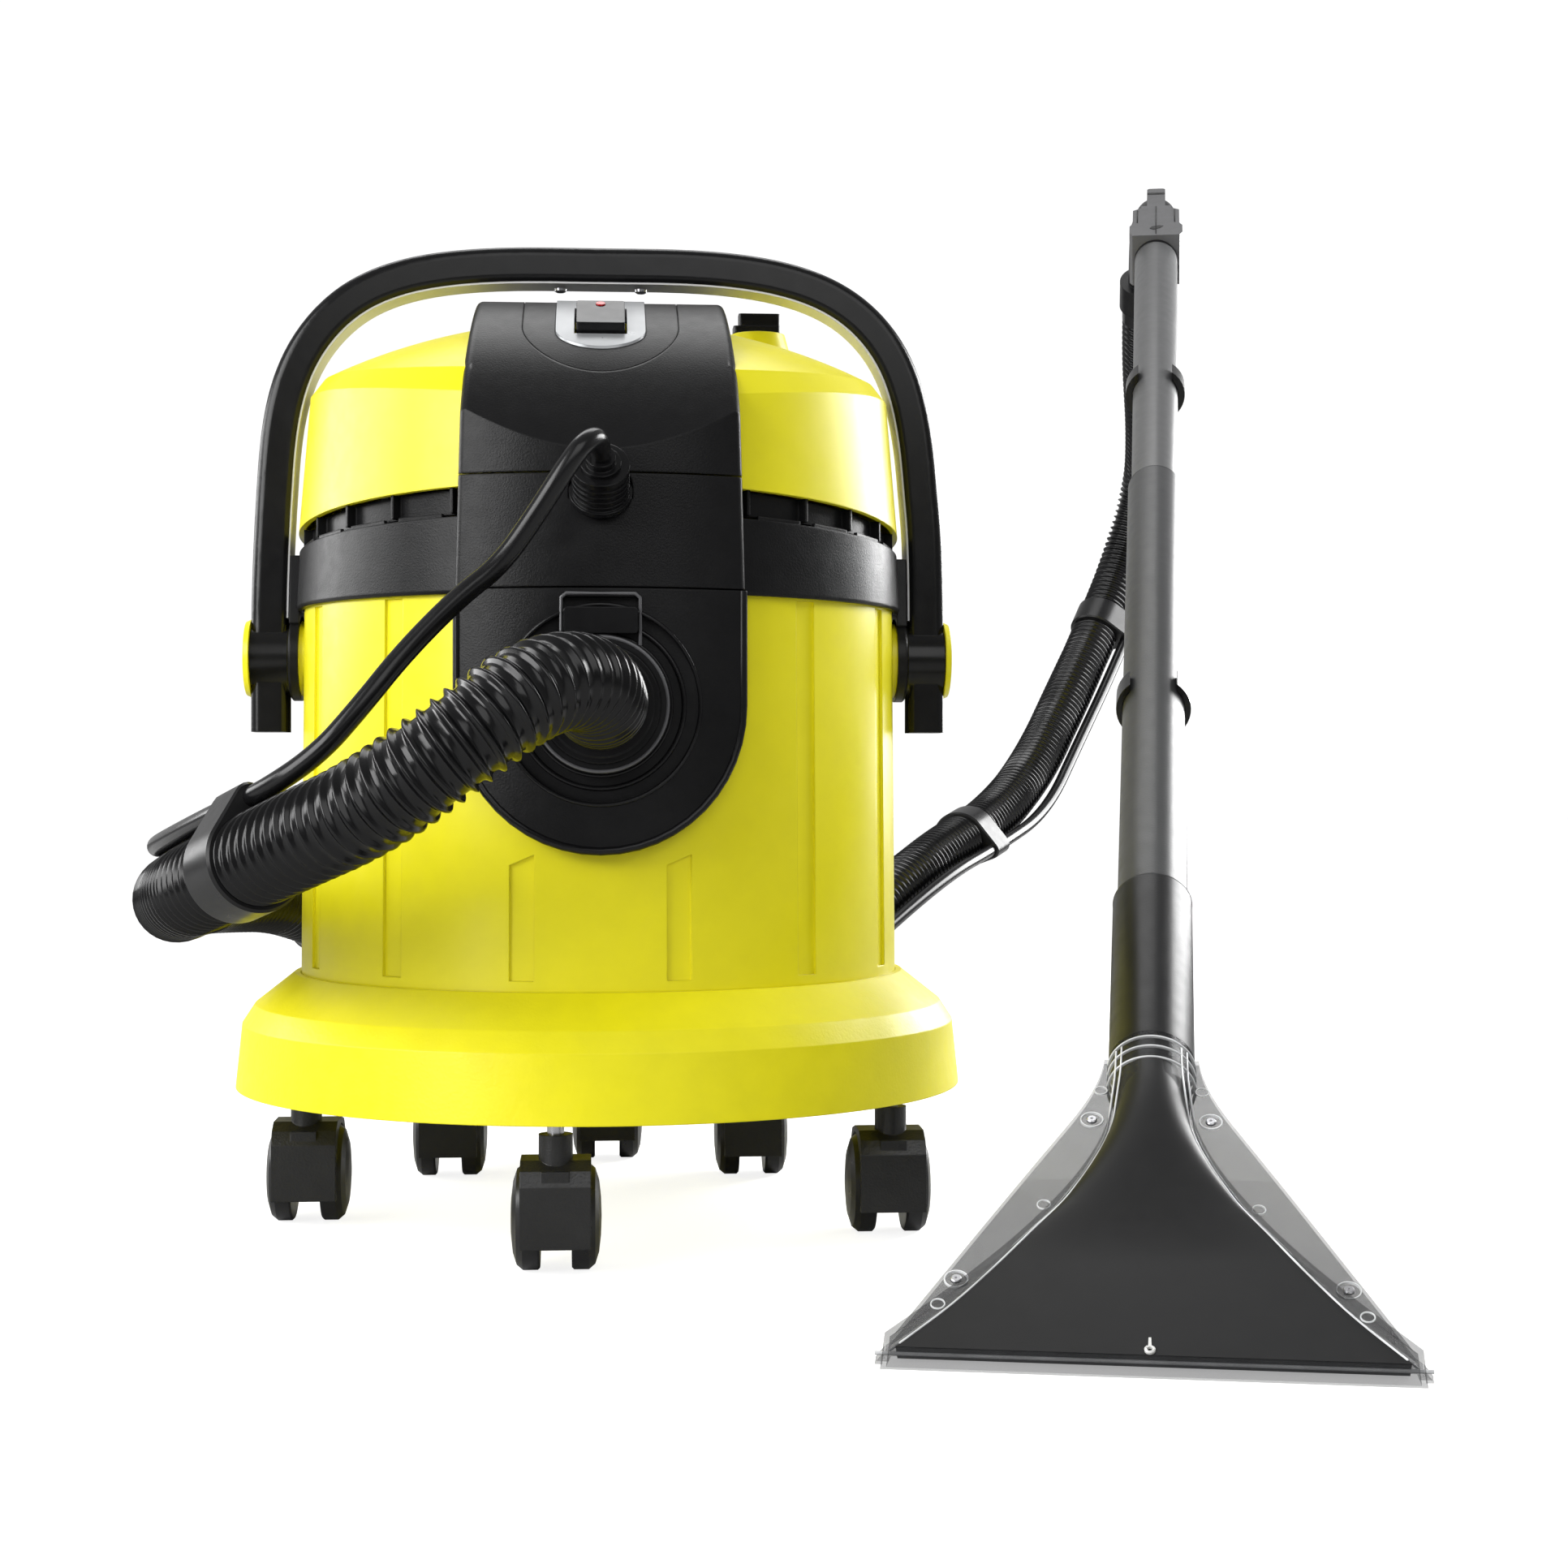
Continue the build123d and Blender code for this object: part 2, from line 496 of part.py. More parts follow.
def spine_form(inset):
    """The black spine's outer form, shrunk by inset: its top is round about the bow's pivots."""
    arc = SPINE_ARC - inset
    top = SPINE_TOP - inset
    half_top = sqrt(arc**2 - (top - PIVOT_Z) ** 2)
    crown = arc / sqrt(2)
    with BuildPart() as form:
        with BuildSketch(Plane.YZ.offset(-SPINE_LOW_HALF)):
            with BuildLine():
                Polyline(
                    (-arc, PIVOT_Z), (-arc, LOWER_SEAM - 100), (arc, LOWER_SEAM - 100), (arc, PIVOT_Z)
                )
                ThreePointArc((arc, PIVOT_Z), (crown, PIVOT_Z + crown), (half_top, top))
                Line((half_top, top), (-half_top, top))
                ThreePointArc((-half_top, top), (-crown, PIVOT_Z + crown), (-arc, PIVOT_Z))
            make_face()
        extrude(amount=2 * SPINE_LOW_HALF)
        with BuildSketch(Plane.XY.offset(200)):
            Circle(SPINE_R - inset)
        extrude(amount=300, mode=Mode.INTERSECT)
        with BuildSketch(Plane.XZ.offset(-200)):
            with BuildLine():
                Polyline(
                    (-SPINE_LOW_HALF, 200), (SPINE_LOW_HALF, 200), (SPINE_LOW_HALF, LOWER_SEAM),
                    (SPINE_LOW_HALF - 3, 430), (SPINE_TOP_HALF, 480), (-SPINE_TOP_HALF, 480),
                    (-SPINE_LOW_HALF + 3, 430), (-SPINE_LOW_HALF, LOWER_SEAM), close=True,
                )
            make_face()
        extrude(amount=400, mode=Mode.INTERSECT)
        outer_edges = form.edges().filter_by(is_spine_side)
        fillet(outer_edges, radius=SPINE_ROUND)
    return form.part


def head_form(inset):
    """The head's form, shrunk by inset: a cone, a saddle-shaped chamfer, a low dome, a spine's bed."""
    spine_bed = spine_form(SPINE_WALL + inset)
    with BuildPart() as over_bed:
        with BuildSketch(Plane.XY.offset(330)):
            Rectangle(2 * (BED_HALF + inset), 3 * SPINE_R)
        extrude(amount=200)
        add(spine_bed, mode=Mode.SUBTRACT)
    dome = Pos(0, 0, DOME_TOP - DOME_HIGH) * scale(
        Sphere(1), by=(DOME_WIDE - inset, DOME_LONG - inset, DOME_HIGH - inset)
    )
    with BuildPart() as chamfer_cone:
        with BuildSketch(Plane.XY.offset(330)):
            Ellipse(230.6 - inset, 204.5 - inset)
        with BuildSketch(Plane.XY.offset(480)):
            Ellipse(115.7 - inset, 115.4 - inset)
        loft()
    with BuildPart() as form:
        with BuildSketch(Plane.XZ):
            with BuildLine():
                Polyline(
                    (0, 330), (COVER_R - inset, 330), (COVER_R - inset, COVER_LOW),
                    (CREASE_R - inset, 430), (CREASE_R - inset, 490), (0, 490), close=True,
                )
            make_face()
        revolve(axis=ABOUT_Z)
        add(chamfer_cone.part, mode=Mode.INTERSECT)
        add(dome, mode=Mode.INTERSECT)
        add(over_bed.part, mode=Mode.SUBTRACT)
    return form.part


HOOK_X, HOOK_Y, HOOK_Z = 88.0, 57.0, 481.0
SWITCH_Y = -94.0
switch_rise = sqrt(SPINE_ARC**2 - SWITCH_Y**2)
SWITCH = Plane(
    origin=(0, SWITCH_Y, PIVOT_Z + switch_rise), x_dir=(1, 0, 0), z_dir=(0, SWITCH_Y, switch_rise)
)
SWITCH_WIDTH, SWITCH_LONG, SWITCH_DEEP = 24.0, 34.0, 9.0

outer_head = head_form(0)
inner_head = head_form(HEAD_WALL)
with BuildPart() as switch_well:
    with BuildSketch(SWITCH.offset(-SWITCH_DEEP - 1.5)):
        Rectangle(SWITCH_WIDTH + 2, SWITCH_LONG + 3)
    extrude(amount=SWITCH_DEEP + 10)

with BuildPart() as cord_hook:
    with BuildSketch(Plane.XY.offset(HOOK_Z - 18)):
        with Locations((HOOK_X, HOOK_Y)):
            Circle(5)
    extrude(amount=18.5)
    with BuildSketch(Plane.XY.offset(HOOK_Z + 0.4)):
        with Locations((HOOK_X - 1, HOOK_Y)):
            RectangleRounded(26, 14, 2)
    extrude(amount=4)
    with BuildSketch(Plane.XY.offset(HOOK_Z + 4.4)):
        with Locations((HOOK_X + 0.5, HOOK_Y)):
            RectangleRounded(23, 12, 2)
    extrude(amount=7)
cord_hook.part.label = "cord_hook"
export_step(cord_hook.part, "parts/cord_hook.step")

# ---------------------------------------------------------------- spine over the head
BEZEL_HALF, BEZEL_FRONT, BEZEL_BACK, BEZEL_THICK = 38.5, -135.0, 8.0, 3.0
TRIM_HALF, TRIM_FRONT, TRIM_BACK, TRIM_PROUD = 22.3, -120.5, -52.0, 1.0


def control_outline(half, front, back, end):
    """An outline seen from above: straight sides with a half-ellipse of depth end in front."""
    with BuildSketch(Plane.XY.offset(400)) as outline:
        with Locations((0, front + end)):
            Ellipse(half, end)
        with Locations((0, (front + end + back) / 2)):
            Rectangle(2 * half, back - front - end)
    return outline.sketch


outer_spine = spine_form(0)
bezel_floor = spine_form(BEZEL_THICK)
trim_top = spine_form(-TRIM_PROUD)
pocket_outline = control_outline(BEZEL_HALF + 0.3, BEZEL_FRONT - 0.3, BEZEL_BACK + 0.3, 34)
bezel_outline = control_outline(BEZEL_HALF, BEZEL_FRONT, BEZEL_BACK, 34)
window_outline = control_outline(TRIM_HALF, TRIM_FRONT, TRIM_BACK, 14)
trim_outline = control_outline(TRIM_HALF - 0.1, TRIM_FRONT + 0.1, TRIM_BACK - 0.1, 13.9)

SOCKET = Plane(
    origin=(0, -164, SOCKET_Z), x_dir=(1, 0, 0),
    z_dir=(0, -cos(radians(SOCKET_TILT)), sin(radians(SOCKET_TILT))),
)
SOCKET_AXIS = Axis(SOCKET.origin, SOCKET.z_dir)
SOCKET_SIDE = Plane(origin=SOCKET.origin, x_dir=(1, 0, 0), z_dir=SOCKET.x_dir.cross(SOCKET.z_dir))

with BuildPart() as socket_hole:
    with BuildSketch(SOCKET.offset(-12)):
        Circle(10.8)
    extrude(amount=14)
    with BuildSketch(SOCKET.offset(-0.3)):
        Circle(15.3)
    extrude(amount=30)

with BuildPart() as bezel_pocket:
    extrude(pocket_outline, amount=100)
    add(bezel_floor, mode=Mode.SUBTRACT)

CORD_R, GLAND_R, GLAND_Z, GLAND_START, GLAND_END = 4.2, 8.0, 350.0, 160.3, 184.0
with BuildPart() as head_cover:
    add(outer_head)
    with BuildSketch(Plane.XY.offset(HOOK_Z - 32)):
        with Locations((HOOK_X, HOOK_Y)):
            Circle(24)
    with BuildSketch(Plane.XY.offset(HOOK_Z)):
        with Locations((HOOK_X, HOOK_Y)):
            Circle(15)
    loft()
    add(inner_head, mode=Mode.SUBTRACT)
    with BuildSketch(Plane.XY.offset(HOOK_Z - 20)):
        with Locations((HOOK_X, HOOK_Y)):
            Circle(5 + RUN)
    extrude(amount=20, mode=Mode.SUBTRACT)
    add(switch_well.part, mode=Mode.SUBTRACT)
    add(socket_hole.part, mode=Mode.SUBTRACT)
    with BuildSketch(Plane.XZ.offset(-150)):
        with Locations((0, GLAND_Z)):
            Circle(CORD_R)
    extrude(amount=-12, mode=Mode.SUBTRACT)
    split(bisect_by=sloped(COVER_LOW, COVER_SLOPE), keep=Keep.TOP)
head_cover.part.label = "head_cover"
export_step(head_cover.part, "parts/head_cover.step")

with BuildPart() as spine_cover:
    add(outer_spine)
    split(bisect_by=Plane.XY.offset(UPPER_SEAM), keep=Keep.TOP)
    add(outer_head, mode=Mode.SUBTRACT)
    add(bezel_pocket.part, mode=Mode.SUBTRACT)
    add(switch_well.part, mode=Mode.SUBTRACT)
    add(socket_hole.part, mode=Mode.SUBTRACT)
spine_cover.part.label = "spine_cover"
export_step(spine_cover.part, "parts/spine_cover.step")

with BuildPart() as control_bezel:
    extrude(bezel_outline, amount=100)
    add(outer_spine, mode=Mode.INTERSECT)
    add(bezel_floor, mode=Mode.SUBTRACT)
    extrude(window_outline, amount=100, mode=Mode.SUBTRACT)
control_bezel.part.label = "control_bezel"
export_step(control_bezel.part, "parts/control_bezel.step")

with BuildPart() as switch_trim:
    extrude(trim_outline, amount=100)
    add(trim_top, mode=Mode.INTERSECT)
    add(bezel_floor, mode=Mode.SUBTRACT)
    add(switch_well.part, mode=Mode.SUBTRACT)
switch_trim.part.label = "switch_trim"
export_step(switch_trim.part, "parts/switch_trim.step")

LENS_ALONG, LENS_R, LENS_LOW, SWITCH_PROUD = 11.0, 2.4, 3.0, 5.0
with BuildPart() as rocker_switch:
    with BuildSketch(SWITCH.offset(-SWITCH_DEEP)):
        RectangleRounded(SWITCH_WIDTH - 4, SWITCH_LONG - 8, 1.5)
    extrude(amount=5)
    with BuildSketch(SWITCH.offset(-4)):
        RectangleRounded(SWITCH_WIDTH, SWITCH_LONG - 2, 1.5)
    extrude(amount=4 + SWITCH_PROUD)
    with BuildSketch(SWITCH.offset(LENS_LOW)):
        with Locations((0, LENS_ALONG)):
            Circle(LENS_R)
    extrude(amount=5, mode=Mode.SUBTRACT)
rocker_switch.part.label = "rocker_switch"
export_step(rocker_switch.part, "parts/rocker_switch.step")

with BuildPart() as indicator_lens:
    with BuildSketch(SWITCH.offset(LENS_LOW)):
        with Locations((0, LENS_ALONG)):
            Circle(LENS_R)
    extrude(amount=SWITCH_PROUD - LENS_LOW + 0.6)
indicator_lens.part.label = "indicator_lens"
export_step(indicator_lens.part, "parts/indicator_lens.step")

with BuildPart() as spine_panels:
    add(outer_spine)
    split(bisect_by=Plane.XY.offset(UPPER_SEAM - SEAM), keep=Keep.BOTTOM)
    split(bisect_by=Plane.XY.offset(LOWER_SEAM), keep=Keep.TOP)
    with BuildSketch(Plane.XY.offset(LOWER_SEAM - 5)):
        Circle(BAND_LOW_R + 0.2)
    extrude(amount=80, mode=Mode.SUBTRACT)
    add(socket_hole.part, mode=Mode.SUBTRACT)
    with BuildSketch(Plane.XZ.offset(-150)):
        with Locations((0, GLAND_Z)):
            Circle(GLAND_R)
    extrude(amount=-40, mode=Mode.SUBTRACT)
spine_panels.part.label = "spine_panels"
export_step(spine_panels.part, "parts/spine_panels.step")

with BuildPart() as spray_socket:
    with BuildSketch(SOCKET_SIDE):
        with BuildLine():
            Polyline(
                (8, -7), (10.5, -7), (10.5, 0), (15, 0), (15, 3), (13.6, 3), (13.6, 21), (8, 21),
                close=True,
            )
        make_face()
    revolve(axis=SOCKET_AXIS)
    for groove in (5.5, 9.0, 12.5, 16.0):
        with BuildSketch(SOCKET.offset(groove)):
            Circle(16)
            Circle(12.7, mode=Mode.SUBTRACT)
        extrude(amount=1.3, mode=Mode.SUBTRACT)
spray_socket.part.label = "spray_socket"
export_step(spray_socket.part, "parts/spray_socket.step")

PLUG_FRONT = 26.85
with BuildPart() as spray_plug:
    with BuildSketch(SOCKET.offset(-4)):
        Circle(8 - RUN)
    extrude(amount=25)
    with BuildSketch(SOCKET.offset(21)):
        Circle(9.5)
    extrude(amount=2)
    with BuildSketch(SOCKET.offset(23)):
        Circle(7)
    extrude(amount=PLUG_FRONT - 23)
spray_plug.part.label = "spray_plug"
export_step(spray_plug.part, "parts/spray_plug.step")

with BuildPart() as cable_gland:
    with BuildSketch(Plane.XZ.offset(-GLAND_START)):
        with Locations((0, GLAND_Z)):
            Circle(GLAND_R)
    extrude(amount=-(SPINE_R - GLAND_START))
    with BuildSketch(Plane.XZ.offset(-SPINE_R)):
        with Locations((0, GLAND_Z)):
            Circle(12)
    extrude(amount=-4)
    with BuildSketch(Plane.XZ.offset(-SPINE_R - 4)):
        with Locations((0, GLAND_Z)):
            Circle(9)
    extrude(amount=-(GLAND_END - SPINE_R - 4), taper=8)
    with BuildSketch(Plane.XZ.offset(-GLAND_START)):
        with Locations((0, GLAND_Z)):
            Circle(CORD_R)
    extrude(amount=-(GLAND_END - GLAND_START), mode=Mode.SUBTRACT)
cable_gland.part.label = "cable_gland"
export_step(cable_gland.part, "parts/cable_gland.step")

# ---------------------------------------------------------------- motor, fan and pump
FAN_LOW, FAN_HIGH, FAN_R, FAN_WALL = FLOOR_Z + 3, 358.0, 66.0, 2.5
SHAFT_R, MOTOR_R, MOTOR_TOP = 4.0, 46.0, 425.0

with BuildPart() as fan_housing:
    with BuildSketch(Plane.XY.offset(FAN_LOW)):
        Circle(FAN_R)
    extrude(amount=FAN_HIGH - FAN_LOW)
    with BuildSketch(Plane.XY.offset(FAN_LOW + FAN_WALL)):
        Circle(FAN_R - FAN_WALL)
    extrude(amount=FAN_HIGH - FAN_LOW - 2 * FAN_WALL, mode=Mode.SUBTRACT)
    with BuildSketch(Plane.XY.offset(FAN_LOW - 1)):
        Circle(INTAKE_R)
    extrude(amount=FAN_WALL + 2, mode=Mode.SUBTRACT)
    with BuildSketch(Plane.XY.offset(FAN_HIGH - FAN_WALL - 1)):
        Circle(SHAFT_R + 1)
    extrude(amount=FAN_WALL + 2, mode=Mode.SUBTRACT)
    with BuildSketch(Plane.XZ.offset(-60)):
        with Locations((0, (FAN_LOW + FAN_HIGH) / 2)):
            Rectangle(30, 14)
    extrude(amount=-12, mode=Mode.SUBTRACT)
fan_housing.part.label = "fan_housing"
export_step(fan_housing.part, "parts/fan_housing.step")

with BuildPart() as fan_impeller:
    with BuildSketch(Plane.XY.offset(FAN_LOW + 6)):
        Circle(56)
        Circle(20, mode=Mode.SUBTRACT)
    extrude(amount=1.5)
    with BuildSketch(Plane.XY.offset(FAN_LOW + 7.5)):
        with PolarLocations(38, 9):
            Rectangle(34, 1.6)
    extrude(amount=10)
    with BuildSketch(Plane.XY.offset(FAN_LOW + 17.5)):
        Circle(56)
    extrude(amount=1.5)
    with BuildSketch(Plane.XY.offset(FAN_LOW + 14)):
        Circle(9)
    extrude(amount=6)
    with BuildSketch(Plane.XY.offset(FAN_LOW + 18)):
        Circle(SHAFT_R)
    extrude(amount=48)
fan_impeller.part.label = "fan_impeller"
export_step(fan_impeller.part, "parts/fan_impeller.step")

with BuildPart() as suction_motor:
    with BuildSketch(Plane.XY.offset(FAN_HIGH)):
        Circle(MOTOR_R)
    extrude(amount=MOTOR_TOP - FAN_HIGH)
    fillet(edges().filter_by(GeomType.CIRCLE).group_by(Axis.Z)[-1], radius=10)
    with BuildSketch(Plane.XY.offset(FAN_HIGH)):
        Circle(SHAFT_R + 0.6)
    extrude(amount=46, mode=Mode.SUBTRACT)
suction_motor.part.label = "suction_motor"
export_step(suction_motor.part, "parts/suction_motor.step")

with BuildPart() as spray_pump:
    with BuildSketch(Plane.XY.offset(FLOOR_Z + 3)):
        with Locations((-98, 5)):
            RectangleRounded(50, 74, 5)
    extrude(amount=40)
    with BuildSketch(Plane.XY.offset(FLOOR_Z + 43)):
        with Locations((-98, -10)):
            Circle(18)
    extrude(amount=20)
spray_pump.part.label = "spray_pump"
export_step(spray_pump.part, "parts/spray_pump.step")

# ---------------------------------------------------------------- floor wand
LIP_DROP = 14.0  # the plates reach this far past the lip before the floor plane trims them


def fan_form(outline, half_depth, neck_r):
    """A flat fan with its outline's half widths by station, swelling into a round neck."""
    right = [(half, station) for station, half in outline]
    left = [(-half, station) for station, half in reversed(outline)]
    with BuildPart() as form:
        with BuildSketch(FACE.offset(-half_depth)):
            with BuildLine():
                Line((right[0][0], -LIP_DROP), right[0])
                Spline(*right)
                Line(right[-1], left[0])
                Spline(*left)
                Line(left[-1], (left[-1][0], -LIP_DROP))
                Line((left[-1][0], -LIP_DROP), (right[0][0], -LIP_DROP))
            make_face()
        extrude(amount=2 * half_depth)
        with BuildSketch(FACE):
            with BuildLine():
                Polyline(
                    (0, 78), (half_depth, 78), (neck_r, 165), (neck_r, NECK), (0, NECK), close=True
                )
            make_face()
        revolve(axis=Axis(LIP, ALONG))
    return form.part


PLATE, DUCT_WALL, DUCT_HALF = 2.6, 2.0, 5.0
flanges = fan_form(NOZZLE_OUTLINE, PLATE, SOCKET_R)
duct_skin = fan_form(
    [(station, half + DUCT_WALL) for station, half in CHANNEL_OUTLINE], DUCT_HALF + DUCT_WALL, SOCKET_R
)
duct_space = fan_form(CHANNEL_OUTLINE, DUCT_HALF, SOCKET_R - DUCT_WALL)

for name, side_kept in (("nozzle_window", Keep.TOP), ("nozzle_back", Keep.BOTTOM)):
    with BuildPart() as plate:
        add(flanges)
        add(duct_skin)
        add(duct_space, mode=Mode.SUBTRACT)
        split(bisect_by=FACE, keep=side_kept)
        split(bisect_by=Plane.XY, keep=Keep.TOP)
    plate.part.label = name
    export_step(plate.part, f"parts/{name}.step")

with BuildPart() as nozzle_socket:
    with BuildSketch(WAND.offset(NECK)):
        Circle(SOCKET_R)
    extrude(amount=SOCKET_END - NECK)
    with BuildSketch(WAND.offset(NECK)):
        Circle(LOWER_R - 1)
    extrude(amount=SOCKET_END - NECK, mode=Mode.SUBTRACT)
    with BuildSketch(WAND.offset(SOCKET_END - 60)):
        Circle(LOWER_R)
    extrude(amount=60, mode=Mode.SUBTRACT)
nozzle_socket.part.label = "nozzle_socket"
export_step(nozzle_socket.part, "parts/nozzle_socket.step")

with BuildPart() as lower_tube:
    with BuildSketch(WAND.offset(SOCKET_END - 60)):
        Circle(LOWER_R)
        Circle(JOINT_R, mode=Mode.SUBTRACT)
    extrude(amount=LOWER_END - SOCKET_END + 60)
lower_tube.part.label = "lower_tube"
export_step(lower_tube.part, "parts/lower_tube.step")

with BuildPart() as upper_tube:
    with BuildSketch(FACE):
        with BuildLine():
            Polyline(
                (TUBE_BORE, LOWER_END - 40), (JOINT_R, LOWER_END - 40), (JOINT_R, LOWER_END),
                (UPPER_R, UPPER_END), (TUBE_BORE, UPPER_END), close=True,
            )
        make_face()
    revolve(axis=Axis(LIP, ALONG))
upper_tube.part.label = "upper_tube"
export_step(upper_tube.part, "parts/upper_tube.step")

PIPE_LOW, PIPE_HIGH, CLIP_STATIONS, CLIP_OUT = 196.0, 1239.5, (524.0, 972.0), 21.0
with BuildPart() as spray_pipe:
    with BuildSketch(WAND.offset(PIPE_LOW)):
        with Locations((0, PIPE_OFFSET)):
            Circle(PIPE_R)
    extrude(amount=PIPE_HIGH - PIPE_LOW)
    for station, tube_r in zip(CLIP_STATIONS, (LOWER_R, JOINT_R + 0.75)):
        with BuildSketch(WAND.offset(station - 8)):
            Circle(CLIP_OUT)
            Circle(tube_r + 0.05, mode=Mode.SUBTRACT)
            with Locations((0, -tube_r)):
                Rectangle(1.5 * tube_r, 1.4 * tube_r, mode=Mode.SUBTRACT)
        extrude(amount=16)
spray_pipe.part.label = "spray_pipe"
export_step(spray_pipe.part, "parts/spray_pipe.step")

GRIP_BEND, GRIP_END, GRIP_TAIL = on_wand(0, 0, 1343), Vector(*SUCTION_ROUTE[-1]), 76.0
end_way = (Vector(*SUCTION_ROUTE[-2]) - GRIP_END).normalized()
GRIP_CREST = GRIP_END - end_way * GRIP_TAIL
GRIP_R, GRIP_BORE, CUFF_R, CUFF_LONG = 17.0, 13.0, 24.5, 26.0
TRIGGER_PIVOT = GRIP_BEND + Vector(2, 14, -24.6)
grip_way = (GRIP_CREST - GRIP_BEND).normalized()
hinge_way = grip_way.cross(Vector(0, 0, 1)).normalized()
TRIGGER_SIDE = Plane(origin=TRIGGER_PIVOT, x_dir=grip_way, z_dir=hinge_way)
LEVER_HALF, EAR_IN, EAR_OUT, TRIGGER_PIN_R = 5.5, 6.0, 8.5, 2.0

with BuildLine() as grip_line:
    FilletPolyline(on_wand(0, 0, UPPER_END), GRIP_BEND, GRIP_CREST, GRIP_END, radius=60)

with BuildPart() as grip_solid:
    with BuildSketch(WAND.offset(UPPER_END)):
        Circle(GRIP_R)
    sweep(path=grip_line.wire())

spray_way = (Vector(*SPRAY_ROUTE[-1]) - Vector(*SPRAY_ROUTE[-2])).normalized()
with BuildPart() as handle_grip:
    add(grip_solid.part)
    with BuildSketch(Plane(origin=SPRAY_ROUTE[-1], z_dir=spray_way)):
        Circle(7)
    extrude(amount=30)
    with BuildSketch(WAND.offset(UPPER_END)):
        Circle(GRIP_BORE)
    sweep(path=grip_line.wire(), mode=Mode.SUBTRACT)
    with BuildSketch(Plane(origin=GRIP_END - end_way * CUFF_LONG, z_dir=end_way)):
        Circle(CUFF_R)
        Circle(GRIP_BORE, mode=Mode.SUBTRACT)
    extrude(amount=CUFF_LONG)
    with BuildSketch(TRIGGER_SIDE.offset(-EAR_OUT)):
        Circle(4)
        with Locations((0, 6)):
            Rectangle(8, 12)
    extrude(amount=EAR_OUT - EAR_IN)
    with BuildSketch(TRIGGER_SIDE.offset(EAR_IN)):
        Circle(4)
        with Locations((0, 6)):
            Rectangle(8, 12)
    extrude(amount=EAR_OUT - EAR_IN)
    with BuildSketch(TRIGGER_SIDE.offset(-EAR_OUT)):
        Circle(TRIGGER_PIN_R + RUN)
    extrude(amount=2 * EAR_OUT, mode=Mode.SUBTRACT)
handle_grip.part.label = "handle_grip"
export_step(handle_grip.part, "parts/handle_grip.step")

with BuildPart() as spray_trigger:
    with BuildSketch(TRIGGER_SIDE.offset(-LEVER_HALF)):
        with BuildLine():
            Polyline(
                (-5, -4), (-5, 3), (8, 3), (62, -4), (68, -8), (66, -11), (58, -10), (10, -4),
                close=True,
            )
        make_face()
    extrude(amount=2 * LEVER_HALF)
    with BuildSketch(TRIGGER_SIDE.offset(-EAR_OUT)):
        Circle(TRIGGER_PIN_R)
    extrude(amount=2 * EAR_OUT)
spray_trigger.part.label = "spray_trigger"
export_step(spray_trigger.part, "parts/spray_trigger.step")

BLOCK_LOW, BLOCK_HIGH, BLOCK_HALF, LOBE_HALF = 1240.0, 1311.0, 18.8, 21.2
with BuildPart() as valve_block:
    with BuildSketch(FACE.offset(-21)):
        with BuildLine():
            right_edge = [
                (BLOCK_HALF, BLOCK_LOW), (LOBE_HALF, BLOCK_LOW + 6), (LOBE_HALF, 1262),
                (BLOCK_HALF, 1268), (BLOCK_HALF, 1300), (12.6, 1305), (12.6, BLOCK_HIGH),
            ]
            left_edge = [(-across, station) for across, station in reversed(right_edge)]
            Polyline(*right_edge, *left_edge, close=True)
        make_face()
    extrude(amount=42)
    with BuildSketch(FACE.offset(10)):
        with Locations((0, 1330)):
            RectangleRounded(15, 48, 3)
    extrude(amount=11)
    add(grip_solid.part, mode=Mode.SUBTRACT)
valve_block.part.label = "valve_block"
export_step(valve_block.part, "parts/valve_block.step")

# ---------------------------------------------------------------- hoses
def bend_radii(route):
    """One radius for each corner: 0.45 of the shorter run over the tangent of half the turn."""
    points = [Vector(*point) for point in route]
    runs = [after - before for before, after in zip(points, points[1:])]
    return [
        0.45 * min(one.length, two.length) / tan(radians(one.get_angle(two) / 2))
        for one, two in zip(runs, runs[1:])
    ]


def hose_line(route):
    """A hose's centre line: straight runs joined by tangent arcs."""
    with BuildLine() as line:
        FilletPolyline(*route, radius=bend_radii(route))
    return line.wire()


SUCTION_BORE = 38.0  # the hose's inside diameter; the thin spray hose is modelled solid
for name, route, diameter, bore in (
    ("suction_hose", SUCTION_ROUTE, SUCTION_D, SUCTION_BORE), ("spray_hose", SPRAY_ROUTE, SPRAY_D, 0)
):
    centre = hose_line(route)
    start = Plane(origin=route[0], z_dir=Vector(*route[1]) - Vector(*route[0]))
    with BuildPart() as hose:
        with BuildSketch(start):
            Circle(diameter / 2)
            if bore:
                Circle(bore / 2, mode=Mode.SUBTRACT)
        sweep(path=centre)
    hose.part.label = name
    export_step(hose.part, f"parts/{name}.step")
    ideal = 3.14159 * (diameter**2 - bore**2) / 4 * centre.length
    print(name, "length", round(centre.length), "volume ratio", round(hose.part.volume / ideal, 4))
    print("radii", [round(radius) for radius in bend_radii(route)])

